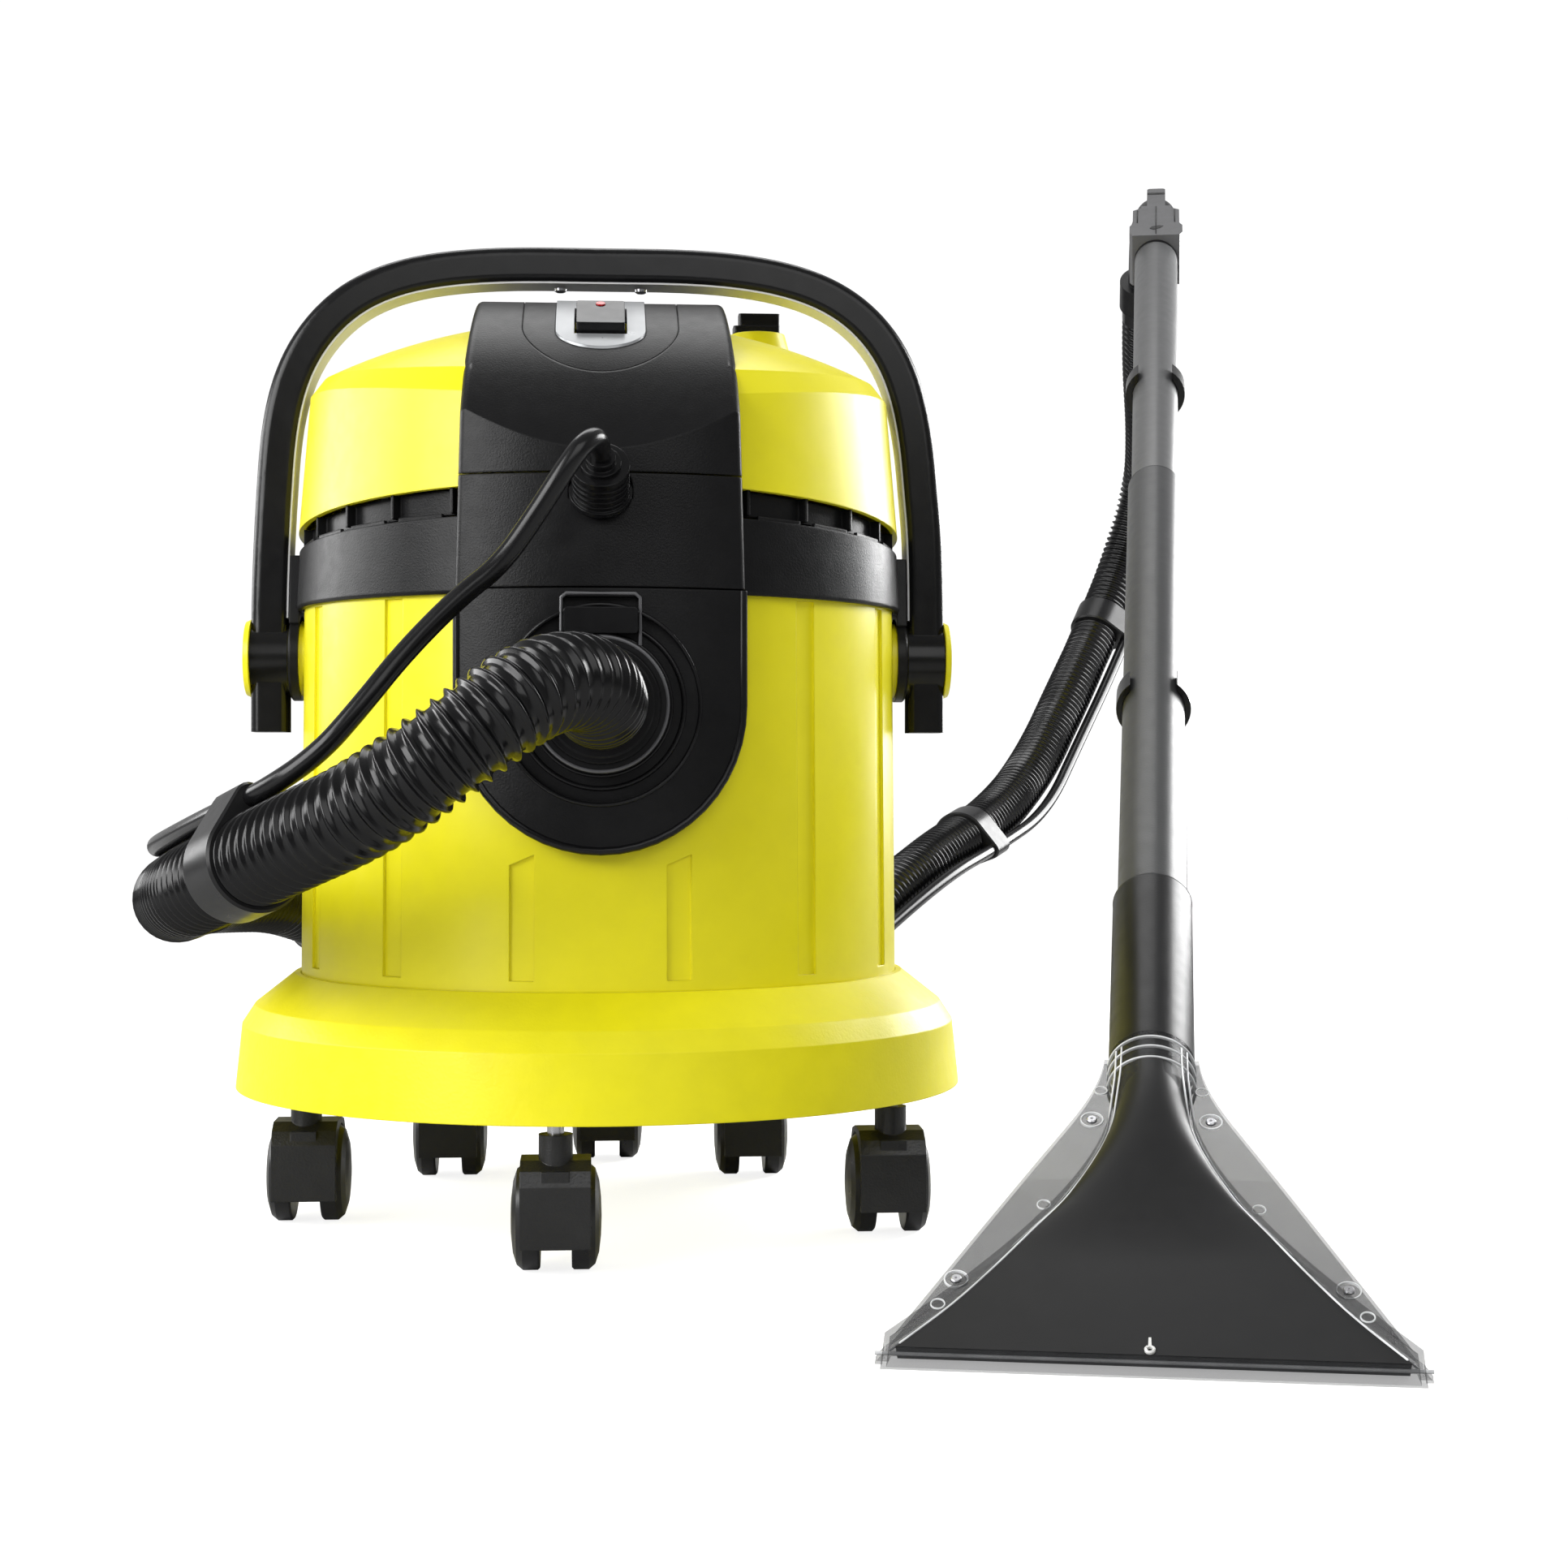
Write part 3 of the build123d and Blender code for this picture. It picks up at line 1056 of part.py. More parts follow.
CLIP_WIDE, CLIP_WALL = 24.0, 2.4
spray_line = hose_line(SPRAY_ROUTE)
with BuildPart() as hose_clips:
    for first in CLIPS:
        before, after = Vector(*SUCTION_ROUTE[first]), Vector(*SUCTION_ROUTE[first + 1])
        middle, way = (before + after) / 2, (after - before).normalized()
        reach = spray_line.closest_points(middle)[0] - middle
        beside = reach - way * reach.dot(way)
        band = Plane(origin=middle - way * CLIP_WIDE / 2, x_dir=beside, z_dir=way)
        gap = beside.length
        print("clip", first, "hoses apart", round(gap, 1))
        with BuildSketch(band):
            Circle(SUCTION_D / 2 + CLIP_WALL)
            with Locations((gap, 0)):
                Circle(SPRAY_D / 2 + CLIP_WALL + 1)
            Circle(SUCTION_D / 2 + 0.1, mode=Mode.SUBTRACT)
            with Locations((gap, 0)):
                Circle(SPRAY_D / 2 + 1.5, mode=Mode.SUBTRACT)
        extrude(amount=CLIP_WIDE)
hose_clips.part.label = "hose_clips"
export_step(hose_clips.part, "parts/hose_clips.step")
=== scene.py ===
"""Looks of the spot extractor: hoses, clips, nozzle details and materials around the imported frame.

Metres, +Z up, the front is -Y. Lengths written with MM are in millimetres, as in part.py.
"""

import json
import math

import bmesh
import bpy
from mathutils import Matrix, Vector


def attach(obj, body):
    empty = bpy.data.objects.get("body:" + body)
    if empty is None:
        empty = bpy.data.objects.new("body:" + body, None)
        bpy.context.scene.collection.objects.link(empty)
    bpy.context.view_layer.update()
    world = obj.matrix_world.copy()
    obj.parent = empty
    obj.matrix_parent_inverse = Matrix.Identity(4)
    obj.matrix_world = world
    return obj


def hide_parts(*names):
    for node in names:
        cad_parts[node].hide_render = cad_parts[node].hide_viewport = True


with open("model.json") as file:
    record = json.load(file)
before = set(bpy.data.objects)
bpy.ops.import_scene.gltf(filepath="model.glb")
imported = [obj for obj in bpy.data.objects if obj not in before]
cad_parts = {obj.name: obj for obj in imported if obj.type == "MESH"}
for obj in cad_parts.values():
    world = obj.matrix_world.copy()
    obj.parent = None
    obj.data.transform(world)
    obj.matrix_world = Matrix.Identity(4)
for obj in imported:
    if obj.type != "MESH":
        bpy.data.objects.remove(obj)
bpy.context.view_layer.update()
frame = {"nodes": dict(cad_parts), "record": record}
MM = 0.001


def vec(x, y, z):
    """A point given in millimetres, as a vector in metres."""
    return Vector((x, y, z)) * MM


# ---------------------------------------------------------------- camera
CAMERA_PLACE, CAMERA_TURN, LENS = vec(0, -1345.6, 232), -4.19, 57.45

camera_data = bpy.data.cameras.new("camera")
camera_data.lens = LENS
camera_data.sensor_width = 36
camera_data.shift_y = -0.0031
camera_data.clip_end = 100
camera = bpy.data.objects.new("camera", camera_data)
camera.location = CAMERA_PLACE
camera.rotation_euler = (math.radians(90), 0, math.radians(CAMERA_TURN))
bpy.context.collection.objects.link(camera)
bpy.context.scene.camera = camera


# ---------------------------------------------------------------- materials
def node_tree(name):
    """A new material with a Principled shader: returns the material, its nodes, links and shader."""
    material = bpy.data.materials.new(name)
    material.use_nodes = True
    nodes, links = material.node_tree.nodes, material.node_tree.links
    return material, nodes, links, nodes["Principled BSDF"]


def noise_of(nodes, links, scale, detail=2.0):
    """Object-space noise of so many cells in a metre."""
    coordinates = nodes.new("ShaderNodeTexCoord")
    texture = nodes.new("ShaderNodeTexNoise")
    texture.inputs["Scale"].default_value = scale
    texture.inputs["Detail"].default_value = detail
    links.new(coordinates.outputs["Object"], texture.inputs["Vector"])
    return texture.outputs["Fac"]


def spread(nodes, links, value, low, high):
    """Maps the middle of a noise to the range from low to high."""
    mapping = nodes.new("ShaderNodeMapRange")
    mapping.inputs["From Min"].default_value = 0.3
    mapping.inputs["From Max"].default_value = 0.7
    mapping.inputs["To Min"].default_value = low
    mapping.inputs["To Max"].default_value = high
    links.new(value, mapping.inputs["Value"])
    return mapping.outputs["Result"]


def finish(name, colour, rough, grain=900.0, depth=0.03, mottle=0.06, edge=0.5, **sockets):
    """A moulded or metal surface: grain in its normal, and colour and gloss that vary a little.

    grain is in cells per metre, depth and edge in millimetres, and sockets are constants of the shader.
    """
    material, nodes, links, shader = node_tree(name)
    tone = spread(nodes, links, noise_of(nodes, links, 55.0, 4.0), 1 - mottle, 1 + mottle)
    tint = nodes.new("ShaderNodeMix")
    tint.data_type = "RGBA"
    tint.blend_type = "MULTIPLY"
    tint.inputs["Factor"].default_value = 1.0
    tint.inputs["A"].default_value = (*colour, 1)
    links.new(tone, tint.inputs["B"])
    links.new(tint.outputs["Result"], shader.inputs["Base Color"])
    gloss = spread(nodes, links, noise_of(nodes, links, 130.0, 3.0), rough * 0.9, rough * 1.12)
    links.new(gloss, shader.inputs["Roughness"])
    bump = nodes.new("ShaderNodeBump")
    bump.inputs["Strength"].default_value = 1.0
    bump.inputs["Distance"].default_value = depth * MM
    links.new(noise_of(nodes, links, grain), bump.inputs["Height"])
    if edge:
        rounding = nodes.new("ShaderNodeBevel")
        rounding.samples = 4
        rounding.inputs["Radius"].default_value = edge * MM
        links.new(rounding.outputs["Normal"], bump.inputs["Normal"])
    links.new(bump.outputs["Normal"], shader.inputs["Normal"])
    for socket, value in sockets.items():
        shader.inputs[socket.replace("_", " ")].default_value = value
    return material


YELLOW = (0.88, 0.80, 0.008)
looks = {
    "yellow_shell": finish(
        "yellow_shell", YELLOW, 0.33, 1300, 0.012, 0.02, 0.9, Specular_IOR_Level=0.4
    ),
    "black_shell": finish(
        "black_shell", (0.008, 0.008, 0.0085), 0.31, 1100, 0.09, 0.1, 1.2, Specular_IOR_Level=0.18
    ),
    "black_gloss": finish(
        "black_gloss", (0.006, 0.006, 0.0065), 0.22, 700, 0.006, 0.08, 0.8, Specular_IOR_Level=0.3
    ),
    "caster_plastic": finish("caster_plastic", (0.012, 0.012, 0.012), 0.34, 800, 0.2, 0.15, 0.8),
    "wheel_plastic": finish("wheel_plastic", (0.013, 0.013, 0.014), 0.3, 800, 0.02, 0.12, 0.5),
    "steel": finish("steel", (0.55, 0.55, 0.57), 0.28, 900, 0.01, 0.08, 0.2, Metallic=1.0),
    "grip_grey": finish("grip_grey", (0.55, 0.55, 0.55), 0.42, 1200, 0.02, 0.04, 0.3),
    "tank_plastic": finish("tank_plastic", (0.62, 0.62, 0.58), 0.4, 500, 0.02, 0.04, 0.6),
    "float_plastic": finish("float_plastic", (0.7, 0.2, 0.02), 0.35, 800, 0.02, 0.05, 0.4),
    "seal_rubber": finish("seal_rubber", (0.014, 0.014, 0.014), 0.6, 1100, 0.03, 0.15, 0.3),
    "silver_trim": finish("silver_trim", (0.36, 0.37, 0.38), 0.3, 1800, 0.01, 0.05, 0.5, Metallic=0.35),
    "red_lens": finish("red_lens", (0.45, 0.004, 0.006), 0.1, 600, 0.01, 0.05, 0.4),
    "motor_metal": finish("motor_metal", (0.5, 0.5, 0.52), 0.38, 700, 0.03, 0.1, 0.5, Metallic=1.0),
    "tube_plastic": finish(
        "tube_plastic", (0.05, 0.051, 0.053), 0.34, 1000, 0.07, 0.05, 0.5, Specular_IOR_Level=0.35
    ),
    "valve_grey": finish(
        "valve_grey", (0.10, 0.10, 0.104), 0.34, 900, 0.02, 0.06, 0.8, Specular_IOR_Level=0.4
    ),
    "hose_plastic": finish(
        "hose_plastic", (0.004, 0.004, 0.0045), 0.2, 500, 0.01, 0.15, 0, Specular_IOR_Level=0.35
    ),
    "spray_hose_plastic": finish(
        "spray_hose_plastic", (0.006, 0.006, 0.0065), 0.22, 400, 0.01, 0.1, 0, Specular_IOR_Level=0.35
    ),
    "clear_plastic": finish(
        "clear_plastic", (0.04, 0.041, 0.043), 0.2, 500, 0.003, 0.1, 0, Alpha=0.38, Specular_IOR_Level=0.22
    ),
}
chassis_yellow = finish("chassis_yellow", YELLOW, 0.38, 620, 0.10, 0.03, 0.9, Specular_IOR_Level=0.35)
# A dark matte colour for sheets inside the clear nozzle's duct and neck: painted shade for those hollows.
duct_painted_shade = finish("duct_painted_shade", (0.017, 0.017, 0.0175), 0.38, 500, 0.004, 0.05, 0, Specular_IOR_Level=0.2)
socket_dark = finish(
    "socket_dark", (0.006, 0.006, 0.0065), 0.34, 1300, 0.04, 0.08, 0.5, Specular_IOR_Level=0.25
)
upper_grey = finish("upper_grey", (0.085, 0.086, 0.088), 0.34, 1000, 0.07, 0.05, 0.5)
# Near-white colour for the beads, rims and rings on the clear nozzle: painted highlights along its edges.
pale_painted_highlight = finish("pale_painted_highlight", (0.72, 0.73, 0.74), 0.12, 300, 0.004, 0.2, 0)
# Light grey for the collar lip and the tab frame: painted highlight lines along those edges.
grey_painted_highlight = finish("grey_painted_highlight", (0.10, 0.10, 0.105), 0.24, 900, 0.01, 0.1, 0)
clip_satin = finish("clip_satin", (0.010, 0.010, 0.0105), 0.3, 900, 0.01, 0.1, 0, Specular_IOR_Level=0.3)
white_plastic = finish("white_plastic", (0.75, 0.75, 0.73), 0.3, 600, 0.01, 0.03, 0)

for subpart in frame["record"]["subparts"]:
    node = frame["nodes"][subpart["node"]]
    node.data.materials.clear()
    node.data.materials.append(looks[subpart["material_slot"]])
for node_name, material in (
    ("chassis", chassis_yellow), ("nozzle_socket", socket_dark), ("upper_tube", upper_grey)
):
    frame["nodes"][node_name].data.materials[0] = material


# ---------------------------------------------------------------- making pieces
def piece_of(name, data, material, body):
    """Links a mesh or curve as a piece with one material, riding on a body."""
    piece = bpy.data.objects.new(name, data)
    bpy.context.collection.objects.link(piece)
    data.materials.append(material)
    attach(piece, body)
    return piece


def mesh_piece(name, mesh, material, body, crease=0.6):
    """A piece from a bmesh: faces turned outwards, smooth but for edges sharper than crease radians."""
    bmesh.ops.recalc_face_normals(mesh, faces=mesh.faces)
    for line in mesh.edges:
        line.smooth = line.calc_face_angle(0.0) < crease
    data = bpy.data.meshes.new(name)
    mesh.to_mesh(data)
    mesh.free()
    for polygon in data.polygons:
        polygon.use_smooth = True
    return piece_of(name, data, material, body)


def bead(name, places, radius, material, body, closed=False):
    """A thin round bead along a line of places."""
    curve = bpy.data.curves.new(name, "CURVE")
    curve.dimensions = "3D"
    spline = curve.splines.new("POLY")
    spline.points.add(len(places) - 1)
    for point, place in zip(spline.points, places):
        point.co = (*place, 1)
    spline.use_cyclic_u = closed
    curve.bevel_depth = radius
    curve.bevel_resolution = 3
    curve.use_fill_caps = not closed
    return piece_of(name, curve, material, body)


def frame_at(origin, z_way, x_way):
    """A matrix that places local X and Z along the given directions."""
    z_axis = z_way.normalized()
    x_axis = (x_way - z_axis * x_way.dot(z_axis)).normalized()
    y_axis = z_axis.cross(x_axis)
    return Matrix.Translation(origin) @ Matrix((x_axis, y_axis, z_axis)).transposed().to_4x4()


def add_ring(mesh, matrix, profile, segments=48, start=0.0, sweep=math.tau):
    """Revolves a closed profile of (radius, height) about local Z, all round or over part of a turn."""
    full = sweep > math.tau - 0.001
    count = segments if full else segments + 1
    rings = []
    for step in range(count):
        angle = start + sweep * step / segments
        turned = [
            matrix @ Vector((r * math.cos(angle), r * math.sin(angle), h)) for r, h in profile
        ]
        rings.append([mesh.verts.new(place) for place in turned])
    pairs = list(zip(rings, rings[1:])) + ([(rings[-1], rings[0])] if full else [])
    size = len(profile)
    for one, two in pairs:
        for k in range(size):
            mesh.faces.new((one[k], one[(k + 1) % size], two[(k + 1) % size], two[k]))
    if not full:
        mesh.faces.new(rings[0])
        mesh.faces.new(reversed(rings[-1]))


def add_prism(mesh, matrix, outline, height):
    """A prism of an outline in local X and Y, from local Z 0 to height."""
    low = [mesh.verts.new(matrix @ Vector((x, y, 0))) for x, y in outline]
    high = [mesh.verts.new(matrix @ Vector((x, y, height))) for x, y in outline]
    size = len(outline)
    mesh.faces.new(reversed(low))
    mesh.faces.new(high)
    for k in range(size):
        mesh.faces.new((low[k], low[(k + 1) % size], high[(k + 1) % size], high[k]))


# ---------------------------------------------------------------- hoses
SUCTION_D, SPRAY_D = 44 * MM, 10 * MM
SUCTION_ROUTE = [
    (0, -182, 267), (0, -206, 267), (-5, -238, 276), (-27, -272, 273), (-60, -287, 247),
    (-98, -274, 220), (-133, -240, 205), (-188, -160, 181), (-211, -85, 172), (-222, 5, 169),
    (-217, 95, 167), (-190, 175, 162), (-140, 250, 132), (-75, 325, 82), (0, 395, 38),
    (75, 455, 26), (160, 560, 80), (250, 662, 158), (366, 850, 208), (450, 985, 335),
    (500, 1050, 425), (527, 1046, 515), (518, 991, 563), (503, 942, 614), (494, 894, 662),
]
SPRAY_ROUTE = [
    (0, -186, 381.4), (0, -197, 389.1), (-7, -209, 385), (-15, -211, 374), (-29, -209, 352),
    (-45, -208, 329), (-64, -210, 314), (-88, -213, 289), (-107, -220, 264), (-125, -222, 243),
    (-151, -213, 226), (-179, -173, 215), (-206, -124, 204), (-222, -80, 198), (-231, 5, 196),
    (-225, 96, 194), (-197, 179, 190), (-133, 259, 159), (-67, 332, 109), (6, 396, 69),
    (91, 441, 49), (184, 543, 90), (276, 647, 154), (332, 744, 174), (392, 839, 202),
    (434, 907, 265), (476, 974, 327), (527, 1041, 417), (549, 1027, 509), (533, 967, 544),
    (509, 917, 589), (497, 863, 646), (491, 841, 679),
]
CLIPS = [6, 11, 14, 17, 19]


def route_curve(name, route, radius):
    """A NURBS curve with a route's points as its control points."""
    curve = bpy.data.curves.new(name, "CURVE")
    curve.dimensions = "3D"
    spline = curve.splines.new("NURBS")
    spline.points.add(len(route) - 1)
    for point, place in zip(spline.points, route):
        point.co = (*vec(*place), 1)
    spline.order_u = 3
    spline.use_endpoint_u = True
    curve.resolution_u = 40
    curve.bevel_depth = radius
    curve.bevel_resolution = 8
    curve.use_fill_caps = True
    return curve


def path_of(route):
    """The points along a route's spline, read from a curve with no bevel."""
    helper = bpy.data.objects.new("helper", route_curve("helper", route, 0.0))
    bpy.context.collection.objects.link(helper)
    data = bpy.data.meshes.new_from_object(helper)
    places = [vertex.co.copy() for vertex in data.vertices]
    bpy.data.meshes.remove(data)
    bpy.data.objects.remove(helper)
    return places


def walk(places, step):
    """Places and ways at even steps along a line of places, with the length at each."""
    lengths = [0.0]
    for before, after in zip(places, places[1:]):
        lengths.append(lengths[-1] + (after - before).length)
    count = int(lengths[-1] / step)
    spots, k = [], 0
    for n in range(count + 1):
        goal = lengths[-1] * n / count
        while k < len(lengths) - 2 and lengths[k + 1] < goal:
            k += 1
        share = (goal - lengths[k]) / (lengths[k + 1] - lengths[k])
        spots.append((goal, places[k].lerp(places[k + 1], share)))
    walked = []
    for n, (goal, place) in enumerate(spots):
        before, after = spots[max(n - 3, 0)][1], spots[min(n + 3, count)][1]
        walked.append((goal, place, (after - before).normalized()))
    return walked


PITCH_FRONT, PITCH_REST, FRONT_STRETCH, RIB_DEPTH = 7.2 * MM, 5.8 * MM, 0.34, 2.8 * MM
CUFF_LONG = 14 * MM  # the smooth ends of the corrugated hose
hose_path = path_of(SUCTION_ROUTE)
hose_mesh = bmesh.new()
SEGMENTS = 36
side_way = Vector((1, 0, 0))
turns = 0.0
last_goal, last_ring = 0.0, None
hose_steps = walk(hose_path, 0.72 * MM)
hose_total = hose_steps[-1][0]
for goal, place, way in hose_steps:
    pitch = PITCH_FRONT if goal < FRONT_STRETCH else PITCH_REST
    turns += (goal - last_goal) / pitch
    last_goal = goal
    side_way = (side_way - way * side_way.dot(way)).normalized()
    up_way = way.cross(side_way)
    smooth_end = min(goal, hose_total - goal) < CUFF_LONG
    ridge = ((1 + math.cos(math.tau * turns)) / 2) ** 3
    ring_r = SUCTION_D / 2 - (0.0 if smooth_end else RIB_DEPTH * (1 - ridge))
    ring = []
    for k in range(SEGMENTS):
        angle = math.tau * k / SEGMENTS
        ring.append(hose_mesh.verts.new(
            place + (side_way * math.cos(angle) + up_way * math.sin(angle)) * ring_r
        ))
    if last_ring is None:
        hose_mesh.faces.new(reversed(ring))
    else:
        for k in range(SEGMENTS):
            after = (k + 1) % SEGMENTS
            hose_mesh.faces.new((last_ring[k], last_ring[after], ring[after], ring[k]))
    last_ring = ring
hose_mesh.faces.new(last_ring)
suction_hose = mesh_piece(
    "suction_hose_ribbed", hose_mesh, looks["hose_plastic"], "root", crease=3.0
)
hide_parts("suction_hose")

spray_curve = route_curve("spray_hose_smooth", SPRAY_ROUTE, SPRAY_D / 2)
spray_hose = piece_of(
    "spray_hose_smooth", spray_curve, looks["spray_hose_plastic"], "root"
)
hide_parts("spray_hose")
spray_path = path_of(SPRAY_ROUTE)

CLIP_WIDE, CLIP_WALL, CLIP_BEVEL = 26 * MM, 2.4 * MM, 1.2 * MM
CLIP_SIDES = 96


def teardrop(angle, big_r, small_r, gap):
    """The radius, from the big circle's centre, of the hull of two circles that are gap apart."""
    lean = math.acos((big_r - small_r) / gap)
    angle = abs(math.remainder(angle, math.tau))
    small_end = math.atan2(small_r * math.sin(lean), gap + small_r * math.cos(lean))
    if angle >= lean:
        return big_r
    if angle >= small_end:
        return big_r / math.cos(angle - lean)
    return gap * math.cos(angle) + math.sqrt(small_r**2 - (gap * math.sin(angle)) ** 2)


for number, first in enumerate(CLIPS, start=1):
    before, after = vec(*SUCTION_ROUTE[first]), vec(*SUCTION_ROUTE[first + 1])
    middle, way = (before + after) / 2, (after - before).normalized()
    spray_spot = min(spray_path, key=lambda place: (place - middle).length)
    reach = spray_spot - middle
    beside = reach - way * reach.dot(way)
    band = frame_at(middle, way, beside)
    band_r, loop_r, half = SUCTION_D / 2, SPRAY_D / 2, CLIP_WIDE / 2
    clip_mesh = bmesh.new()
    loops = []
    for step in range(CLIP_SIDES):
        angle = math.tau * step / CLIP_SIDES
        outer = teardrop(angle, band_r + CLIP_WALL, loop_r + CLIP_WALL, beside.length)
        inner = band_r - 2 * MM
        section = [
            (inner, -half), (outer - CLIP_BEVEL, -half), (outer, CLIP_BEVEL - half),
            (outer, half - CLIP_BEVEL), (outer - CLIP_BEVEL, half), (inner, half),
        ]
        loops.append([
            clip_mesh.verts.new(band @ Vector((r * math.cos(angle), r * math.sin(angle), h)))
            for r, h in section
        ])
    for one, two in zip(loops, loops[1:] + loops[:1]):
        for k in range(6):
            clip_mesh.faces.new((one[k], one[(k + 1) % 6], two[(k + 1) % 6], two[k]))
    clip = mesh_piece(f"hose_clip_{number}", clip_mesh, clip_satin, "root")
    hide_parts("hose_clips")

# ---------------------------------------------------------------- inlet panel, dish and tab
PANEL_R, PANEL_HALF, PANEL_TOP, PORT_Z = 166.3, 69.0, 322.0, 267.0
DISH_R, DISH_Y, COLLAR_R, COLLAR_FRONT = 46.6, -160.0, 32.7, -175.0


def on_panel(x, z, proud=0.0):
    """A point on the round front of the panel, given in millimetres from the axis and the floor."""
    return vec(x, -math.sqrt((PANEL_R + proud) ** 2 - x**2), z)


rim_line = [(-PANEL_HALF, PANEL_TOP - 6 * n) for n in range(9)]
for n in range(25):
    angle = math.pi * n / 24
    rim_line.append((-PANEL_HALF * math.cos(angle), PORT_Z - PANEL_HALF * math.sin(angle)))
rim_line += [(PANEL_HALF, PANEL_TOP - 6 * n) for n in reversed(range(9))]
bead(
    "inlet_panel_rim", [on_panel(x * 0.985, z, -1.1) for x, z in rim_line], 2.1 * MM,
    looks["black_gloss"], "root",
)


def circle_of(radius, place_at, count=72):
    """Places round the port's axis at a radius in millimetres."""
    angles = [math.tau * n / count for n in range(count)]
    return [place_at(radius * math.cos(a), PORT_Z + radius * math.sin(a)) for a in angles]


bead(
    "dish_edge", circle_of(DISH_R + 0.6, lambda x, z: on_panel(x, z, -0.5)), 1.1 * MM,
    looks["black_gloss"], "root", closed=True,
)
# The collar lip bead is light grey: a painted highlight.
for name, radius, y, thick, material in (
    ("dish_step", 39.5, DISH_Y - 0.2, 1.3, looks["black_gloss"]),
    ("collar_root", COLLAR_R + 0.8, DISH_Y - 1.0, 1.0, looks["black_gloss"]),
    ("collar_lip", COLLAR_R - 1.2, COLLAR_FRONT + 0.4, 0.9, grey_painted_highlight),
):
    bead(
        name, circle_of(radius, lambda x, z: vec(x, y, z)), thick * MM,
        material, "root", closed=True,
    )

TAB_HALF, TAB_LOW, TAB_HIGH = 18.6, 299.0, 314.5
tab_frame = [
    (-TAB_HALF, TAB_LOW - 4), (-TAB_HALF, TAB_HIGH + 3), (-TAB_HALF + 2.5, TAB_HIGH + 5),
    (TAB_HALF - 2.5, TAB_HIGH + 5), (TAB_HALF, TAB_HIGH + 3), (TAB_HALF, TAB_LOW - 4),
]
# The tab frame bead is light grey: a painted highlight round the tab.
bead(
    "tab_frame", [on_panel(x, z, -0.2) for x, z in tab_frame], 0.9 * MM,
    grey_painted_highlight, "root",
)

# ---------------------------------------------------------------- bow pivots and screws
PIVOT_Z, SHROUD_R, SHROUD_IN, SHROUD_OUT = 296.0, 22.5, 158.0, 163.4
UPRIGHT_LOW, UPRIGHT_LONG = 18, 36
BOW_SCREW_X, BOW_SCREW_Z = 21.5, 494.6
BACK_WAY = Vector((0, 1, 0))
for side_name, side_sign in (("left", -1), ("right", 1)):
    shroud_mesh = bmesh.new()
    side_out = Vector((side_sign, 0, 0))
    spot = frame_at(vec(side_sign * SHROUD_IN, 0, PIVOT_Z), side_out, BACK_WAY)
    add_ring(shroud_mesh, spot, [
        (6.4 * MM, 0), (SHROUD_R * MM, 0), (SHROUD_R * MM, 4.4 * MM), ((SHROUD_R - 1) * MM, 5.4 * MM),
        (6.4 * MM, 5.4 * MM),
    ], 64)
    upright = frame_at(vec(side_sign * SHROUD_IN, 0, PIVOT_Z + UPRIGHT_LOW), side_out, BACK_WAY)
    reach = UPRIGHT_LONG * MM * (1 if upright.col[1][2] > 0 else -1)
    add_prism(shroud_mesh, upright, [
        (-15 * MM, 0), (15 * MM, 0), (11 * MM, reach), (-11 * MM, reach)
    ], (SHROUD_OUT - SHROUD_IN) * MM)
    mesh_piece(f"pivot_shroud_{side_name}", shroud_mesh, looks["black_shell"], "root")
    bow_screw_mesh = bmesh.new()
    spot = frame_at(
        vec(side_sign * BOW_SCREW_X, 0, BOW_SCREW_Z), Vector((0, 0, -1)), Vector((1, 0, 0))
    )
    add_ring(bow_screw_mesh, spot, [
        (0.6 * MM, 0), (3.4 * MM, 0), (3.2 * MM, 1.4 * MM), (2.2 * MM, 2.0 * MM), (0.6 * MM, 1.2 * MM)
    ], 28)
    mesh_piece(f"bow_screw_{side_name}", bow_screw_mesh, looks["steel"], "bow")

# ---------------------------------------------------------------- floor wand
LIP, LEAN, HEADING = vec(214.8, -377.4, 0), math.radians(31.72), math.radians(12.77)
ALONG = Vector((
    math.sin(HEADING) * math.cos(LEAN), math.cos(HEADING) * math.cos(LEAN), math.sin(LEAN)
))
ACROSS = Vector((math.cos(HEADING), -math.sin(HEADING), 0))
OUTWARD = ACROSS.cross(ALONG)
FACE = Matrix.Translation(LIP) @ Matrix((ACROSS, ALONG, OUTWARD)).transposed().to_4x4()
CHANNEL = [(0, 101), (25, 80), (47, 64.5), (72, 48.5), (95, 34), (133, 18.8), (165, 14), (190, 13.2)]
SOCKET_END, LOWER_END = 321.5, 807.5
SOCKET_R, LOWER_R = 19.6, 17.4
SWELL_START, SWELL_LONG, SWELL_RISE = 55, 110, 12.6


def on_wand(across, station, out):
    """A point on the wand, in millimetres across, along and out of its face."""
    return FACE @ (Vector((across, station, out)) * MM)


def channel_half(station):
    """The half width of the nozzle's dark channel at a station, on a smooth curve through its points."""
    points = CHANNEL
    station = min(max(station, points[0][0]), points[-1][0])
    k = max(n for n in range(len(points) - 1) if points[n][0] <= station)
    (s0, h0), (s1, h1) = points[k], points[k + 1]
    before, after = points[max(k - 1, 0)], points[min(k + 2, len(points) - 1)]
    run = s1 - s0
    slope0 = (h1 - before[1]) / (s1 - before[0]) * run
    slope1 = (after[1] - h0) / (after[0] - s0) * run
    t = (station - s0) / run
    return (
        (2 * t**3 - 3 * t**2 + 1) * h0 + (t**3 - 2 * t**2 + t) * slope0
        + (3 * t**2 - 2 * t**3) * h1 + (t**3 - t**2) * slope1
    )


def swell_at(station):
    """How far the channel has swollen from flat towards the round neck, from 0 to 1."""
    share = min(max((station - SWELL_START) / SWELL_LONG, 0.0), 1.0)
    return share**2 * (3 - 2 * share)
